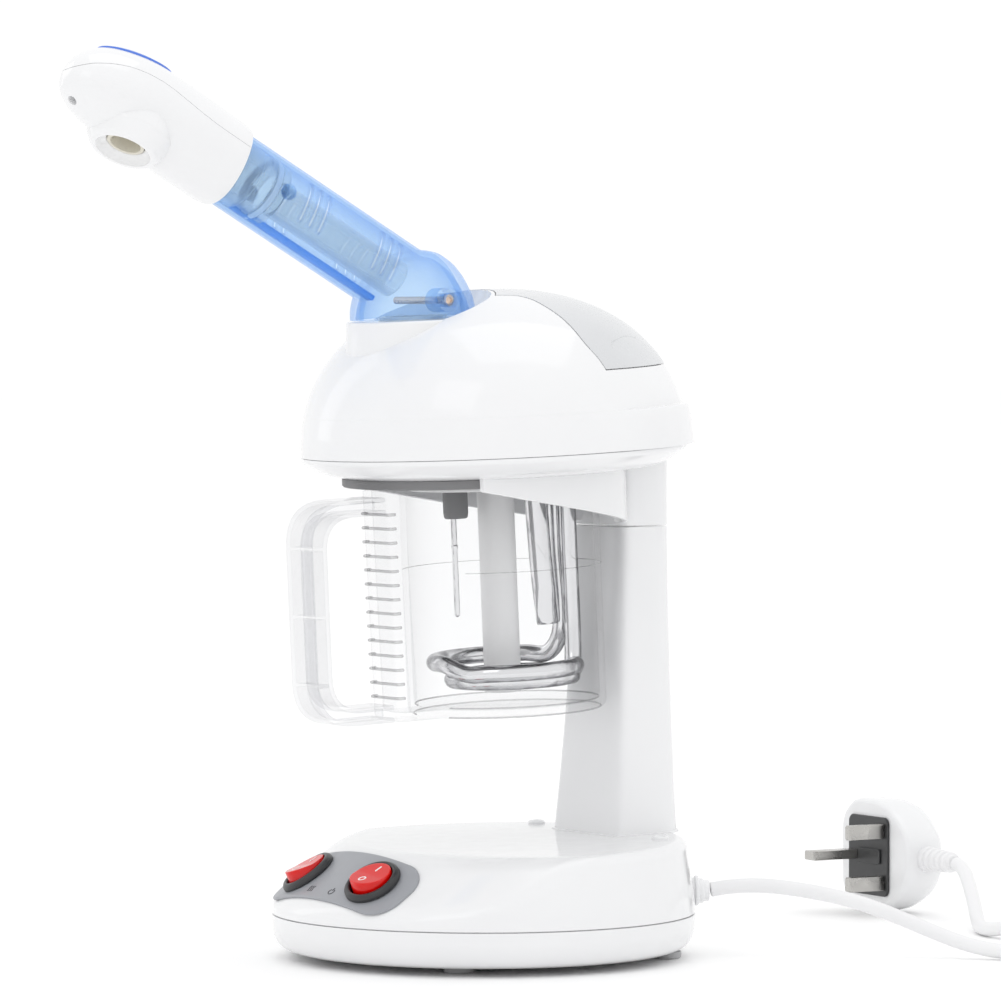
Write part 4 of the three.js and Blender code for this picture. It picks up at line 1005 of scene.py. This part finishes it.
outside = bell("elbow", 0)
solve(outside, [lathe("tube", rounded([
    (0, 3), (ARM_RADIUS, 3), (ARM_RADIUS, ARM_LENGTH, 0.5), (0, ARM_LENGTH)], 3), ARM, 96)], "UNION")
inside = bell("inside", 2.2)
solve(inside, [cylinder("bore", ARM_RADIUS - ARM_WALL, 5, 110, ARM, 96)], "UNION")
solve(outside, [inside])
SCREW = HEAD @ shift(0, COLLAR_Y + 3.3, COLLAR_TOP + 7.4) @ turn(90, "Y")
floor_cut = cylinder("floor_cut", 60, 20, BELL_FLOOR, COLLAR, 32)
boss_ring = lathe("boss_ring", rounded([
    (2.7, 12), (4.8, 12), (4.8, 24.6, 0.5), (2.7, 24.6, 0.3), (2.7, 12)], 3), SCREW, 48)
solve(outside, [boss_ring], "UNION")
solve(outside, [floor_cut, cylinder("screw_hole", 2.9, 20.8, 30, SCREW, 32)])

SLOT_HALF, SLOT_BOW, SLOT_STEPS = 0.85, 0.9, 12


def slot_line(s, offset, start, run):
    """One edge of a bowed slot, s along the arm, from start over run across it."""
    line = []
    for k in range(SLOT_STEPS + 1):
        t = start + run * k / SLOT_STEPS
        line.append((t, s + offset + SLOT_BOW * (1 - ((t - 5) / 11) ** 2) - SLOT_BOW))
    return line


slot_cuts = []
for s in (71.5, 66.7, 62, 33.9, 29.2, 24.5):
    outline = slot_line(s, SLOT_HALF, 10.0, -16) + slot_line(s, -SLOT_HALF, -6.0, 16)
    slot_cuts.append(loft("slot", [[(x, t, along) for t, along in outline] for x in (-30, 30)], ARM))
solve(outside, slot_cuts)
for side, name in SIDES:
    half = in_scene("elbow_half_" + name, outside.data.copy())
    outline = [(side * 0.2, -200), (side * 60, -200), (side * 60, 200), (side * 0.2, 200)]
    solve(half, [prism("keep", outline, -20, 200, HEAD)], "INTERSECT")
    bevel(half, 0.25, 2, 50)
    piece(half, BLUE, "turret", "arm_half_" + name, sharp=36, weighted=True)
bpy.data.objects.remove(outside)
screw = lathe("elbow_screw", rounded([
    (0, -17), (1.5, -17), (1.5, 21), (2.4, 21), (2.4, 22.2, 0.6), (1.0, 22.8, 0.3), (0.9, 22.2),
    (0, 22.2)], 3), SCREW, 32)
piece(screw, COPPER, "turret", "arm_screw")
collar_ring = lathe("turret_bearing", rounded([
    (11.2, 50), (11.2, 44), (16.2, 44, 0.4), (16.2, 45.6, 0.4), (13.6, 45.6), (13.6, 55.2),
    (11.2, 55.2), (11.2, 50)], 3), COLLAR, 64)
piece(collar_ring, PALE_GREY, "turret", "turret_ring")
# A rib along the joint on the arm's floor; its deeper blue is painted shade of the shadowed strip along the
# arm's underside.
rail = prism("elbow_floor_rail", rounded_outline(2.4, 1.1, 0.6, 3), 20, 93, ARM @ shift(0, -12.0, 0), 0.4)
piece(rail, BLUE_WITH_PAINTED_SHADE, "turret")
for side, name in SIDES:
    stud = lathe("elbow_stud_" + name, rounded([
        (0, -1.2), (3.2, -1.2), (3.2, -0.2, 0.6), (2.4, 0.35, 0.4), (1.2, 0.2, 0.2), (0.8, -0.3, 0.2),
        (0, -0.4)], 3), ARM @ shift(side * 15.35, 1, 81) @ turn(side * 90, "Y"), 40)
    piece(stud, BLUE, "turret")
steam = lathe("steam_pipe", ring_profile(6.4, 7.6, 14, 78, 0.4), ARM, 48)
piece(steam, FROST, "turret", "steam_tube")

# ---- Nozzle ----

POD_START, POD_END, POD_HALF, POD_WIDTH = 102.4, 182.4, 17.9, 17.4
NOZZLE = ARM @ turn(12, "Z")


def pod_section(s, grow, sides=96):
    """The nozzle across, s along the arm: an oval that closes in an eased nose."""
    rear = min(1.0, max(0.0, (s - POD_START + 1.2) / 8))
    start = 15.7 + (POD_HALF - 15.7) * math.sqrt(1 - (1 - rear) ** 2)

    def fade(begin, power):
        t = min(1.0, max(0.0, (s - begin) / (POD_END - begin)))
        return (1 - t ** power) ** (1 / power)

    middle = -4 * smoothstep(140, POD_END, s)
    crown = start if s < 146 else (POD_HALF + 4) * fade(146, 2.1) - 4
    top = crown + 0.7 * smoothstep(POD_START, 130, s) + grow
    bottom = (-start if s < 150 else -4 - (POD_HALF - 4) * fade(150, 2.4)) - grow
    width = (min(start, POD_WIDTH) if s < 146 else POD_WIDTH * fade(146, 2.3)) + grow
    ring = []
    for cos, sin in circle(sides):
        reach = top - middle if sin > 0 else middle - bottom
        pull = 1.8 * cos * cos * max(0.0, 1 - (s - POD_START) / 12)
        ring.append((width * cos, middle + reach * sin, s + pull))
    return ring
    return ring


def pod(name, grow):
    """The nozzle's outer form, grown or, with its rear end set forward, shrunk."""
    start, end = POD_START + (0 if grow >= 0 else 2.4), POD_END + grow
    stops = [0, 0.004, 0.012, 0.025, 0.05, 0.08, 0.12] + [0.2 + 0.05 * k for k in range(10)]
    stops += [0.68, 0.71, 0.74, 0.77, 0.8, 0.83, 0.86, 0.885, 0.91, 0.93, 0.95, 0.965, 0.978, 0.988,
              0.994, 0.998]
    rings = [pod_section(start + (end - start) * stop, grow) for stop in stops]
    if grow >= 0:
        rings[0] = [(x * 0.965, y * 0.965, s) for x, y, s in rings[0]]
    return loft(name, rings, NOZZLE)


SPOUT = NOZZLE @ shift(0, 0, 147.6) @ turn(90, "X")
spout_out = lathe("spout", rounded([
    (0, 6), (16, 6), (17.2, 12.8), (16.4, 15, 2), (15.0, 17.2, 2), (14.2, 18.6, 1), (13.2, 19.6, 0.8),
    (11.6, 19.8, 0.6), (9, 19.8), (0, 19.8)], 5), SPOUT, 96)
spout_in = lathe("spout_in", rounded([
    (0, 4), (7.7, 4), (7.7, 16.4, 0.8), (9.4, 17.6, 1.5), (11.0, 19.5, 0.8), (11.6, 21), (0, 21)], 4),
    SPOUT, 96)
throat = lathe("throat", [
    (0, 95), (15.65, 95), (15.65, 104.2), (13.2, 104.2), (13.2, 107), (0, 107)], ARM, 64)
vent = lathe("vent", rounded([(0, -3.5), (1.6, -3.5), (1.9, 1.0, 0.8), (2.6, 4), (0, 4)], 3),
             NOZZLE @ shift(0, -12.2, 174.6) @ turn(58, "X"), 40)
shell = pod("pod", 0)
solve(shell, [spout_out], "UNION")
solve(shell, [spout_in, throat, vent])
PARTING = smooth_path([(90, 3.6, 0), (124, 3.8, 0), (150, 6.4, 0), (165, 4.6, 0), (177, 0, 0),
                       (184, -4.2, 0), (200, -9, 0)], 5)


def above_parting(name, lift):
    outline = [(p.y + lift, p.x) for p in PARTING] + [(60, 200), (60, 90)]
    return loft(name, [[(x, t, s) for t, s in outline] for x in (-40, 40)], NOZZLE)


def inlay_region(name, grow):
    outline = [((9.2 + grow) * cos, (16.4 + grow) * sin) for cos, sin in circle(72)]
    return loft(name, [[(x, t, 156.6 + z) for x, z in outline] for t in (4, 44)], NOZZLE)


pocket = solve(inlay_region("pocket", 0.25), [pod("core", -1.2)])
upper = in_scene("nozzle_upper", shell.data.copy())
solve(upper, [above_parting("above", 0.08)], "INTERSECT")
solve(upper, [pocket])
bevel(upper, 0.3, 2, 40)
piece(upper, WHITE, "nozzle", "nozzle_top_shell", sharp=38, weighted=True)
shell.name = "nozzle_lower"
solve(shell, [above_parting("above", -0.08)])
bevel(shell, 0.3, 2, 40)
piece(shell, WHITE, "nozzle", "nozzle_bottom_shell", sharp=38, weighted=True)
inlay = solve(pod("nozzle_blue_inlay", 0.7), [inlay_region("inlay", 0)], "INTERSECT")
solve(inlay, [pod("core", -0.9)])
bevel(inlay, 0.5, 3, 40)
piece(inlay, INLAY_BLUE, "nozzle", "nozzle_inlay", sharp=40, weighted=True)
sleeve = lathe("spout_liner", ring_profile(6.1, 7.5, 7, 16.8, 0.4), SPOUT, 64)
piece(sleeve, CREAM, "nozzle", "spout_sleeve")
# The cream disc that closes the spout's bore.
piece(cylinder("spout_dark", 6.0, 8.2, 9.4, SPOUT, 48), CREAM, "nozzle")
neck = lathe("nozzle_neck_moulding", rounded([
    (10.8, 90), (10.8, 80.2), (12.9, 80.2, 0.4), (12.9, 83.6, 0.3), (11.4, 83.6, 0.2),
    (11.4, 87.2, 0.2), (12.9, 87.2, 0.3), (12.9, 89.8, 0.3), (12.3, 90.4, 0.3), (12.3, 93.4, 0.3),
    (12.9, 94, 0.3), (12.9, 105.8), (10.8, 105.8), (10.8, 90)], 3), ARM, 64)
piece(neck, FROST, "nozzle", "nozzle_neck")
o_ring = lathe("nozzle_o_ring", ring_profile(11.5, 13.15, 84.1, 86.7, 0.8), ARM, 64)
piece(o_ring, SILICONE, "nozzle", "nozzle_seal")

# ---- Pieces inside that keep their CAD shape ----

INNER = {"ballast_plate": IRON, "control_board": BOARD, "ozone_transformer": DARK,
         "terminal_block": PALE_GREY, "steam_duct": SILICONE, "lamp_holder": DARK_RUBBER,
         "ozone_lamp": LAMP, "thermal_cutout": DARK_RUBBER}
for name, material in INNER.items():
    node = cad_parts[name]
    node.data.materials.clear()
    node.data.materials.append(material)

# ---- Floor and light ----

floor_mesh = bmesh.new()
bmesh.ops.create_grid(floor_mesh, x_segments=8, y_segments=8, size=14)
floor_data = bpy.data.meshes.new("studio_floor")
floor_mesh.to_mesh(floor_data)
floor_mesh.free()
floor = in_scene("studio_floor", floor_data)
floor_data.materials.append(solid_finish("floor_paper", (0.99, 0.99, 0.99), (0.985, 0.985, 0.985),
                                         (0.6, 0.75), relief=0.01))

world = bpy.data.worlds.new("studio")
world.use_nodes = True
with_inputs(world.node_tree.nodes["Background"], {"Color": (1, 1, 1, 1), "Strength": 1.03})
bpy.context.scene.world = world
bpy.context.scene.view_settings.view_transform = "Standard"


def softbox(name, place, aim, size, watts, tall=None):
    light = bpy.data.lights.new(name, "AREA")
    light.shape = "RECTANGLE"
    light.size = size
    light.size_y = tall or size
    light.energy = watts
    obj = in_scene(name, light)
    obj.location = Vector(place)
    obj.rotation_euler = (Vector(aim) - Vector(place)).to_track_quat("-Z", "Y").to_euler()


softbox("key", (0.9, -1.5, 1.7), (0, 0.05, 0.2), 1.0, 2.6)
softbox("side", (-1.5, -0.7, 0.9), (0, 0.05, 0.2), 0.5, 1.2, 1.4)
softbox("top", (0.1, 0.3, 1.9), (0, 0.05, 0.1), 1.3, 4)

bpy.context.view_layer.update()
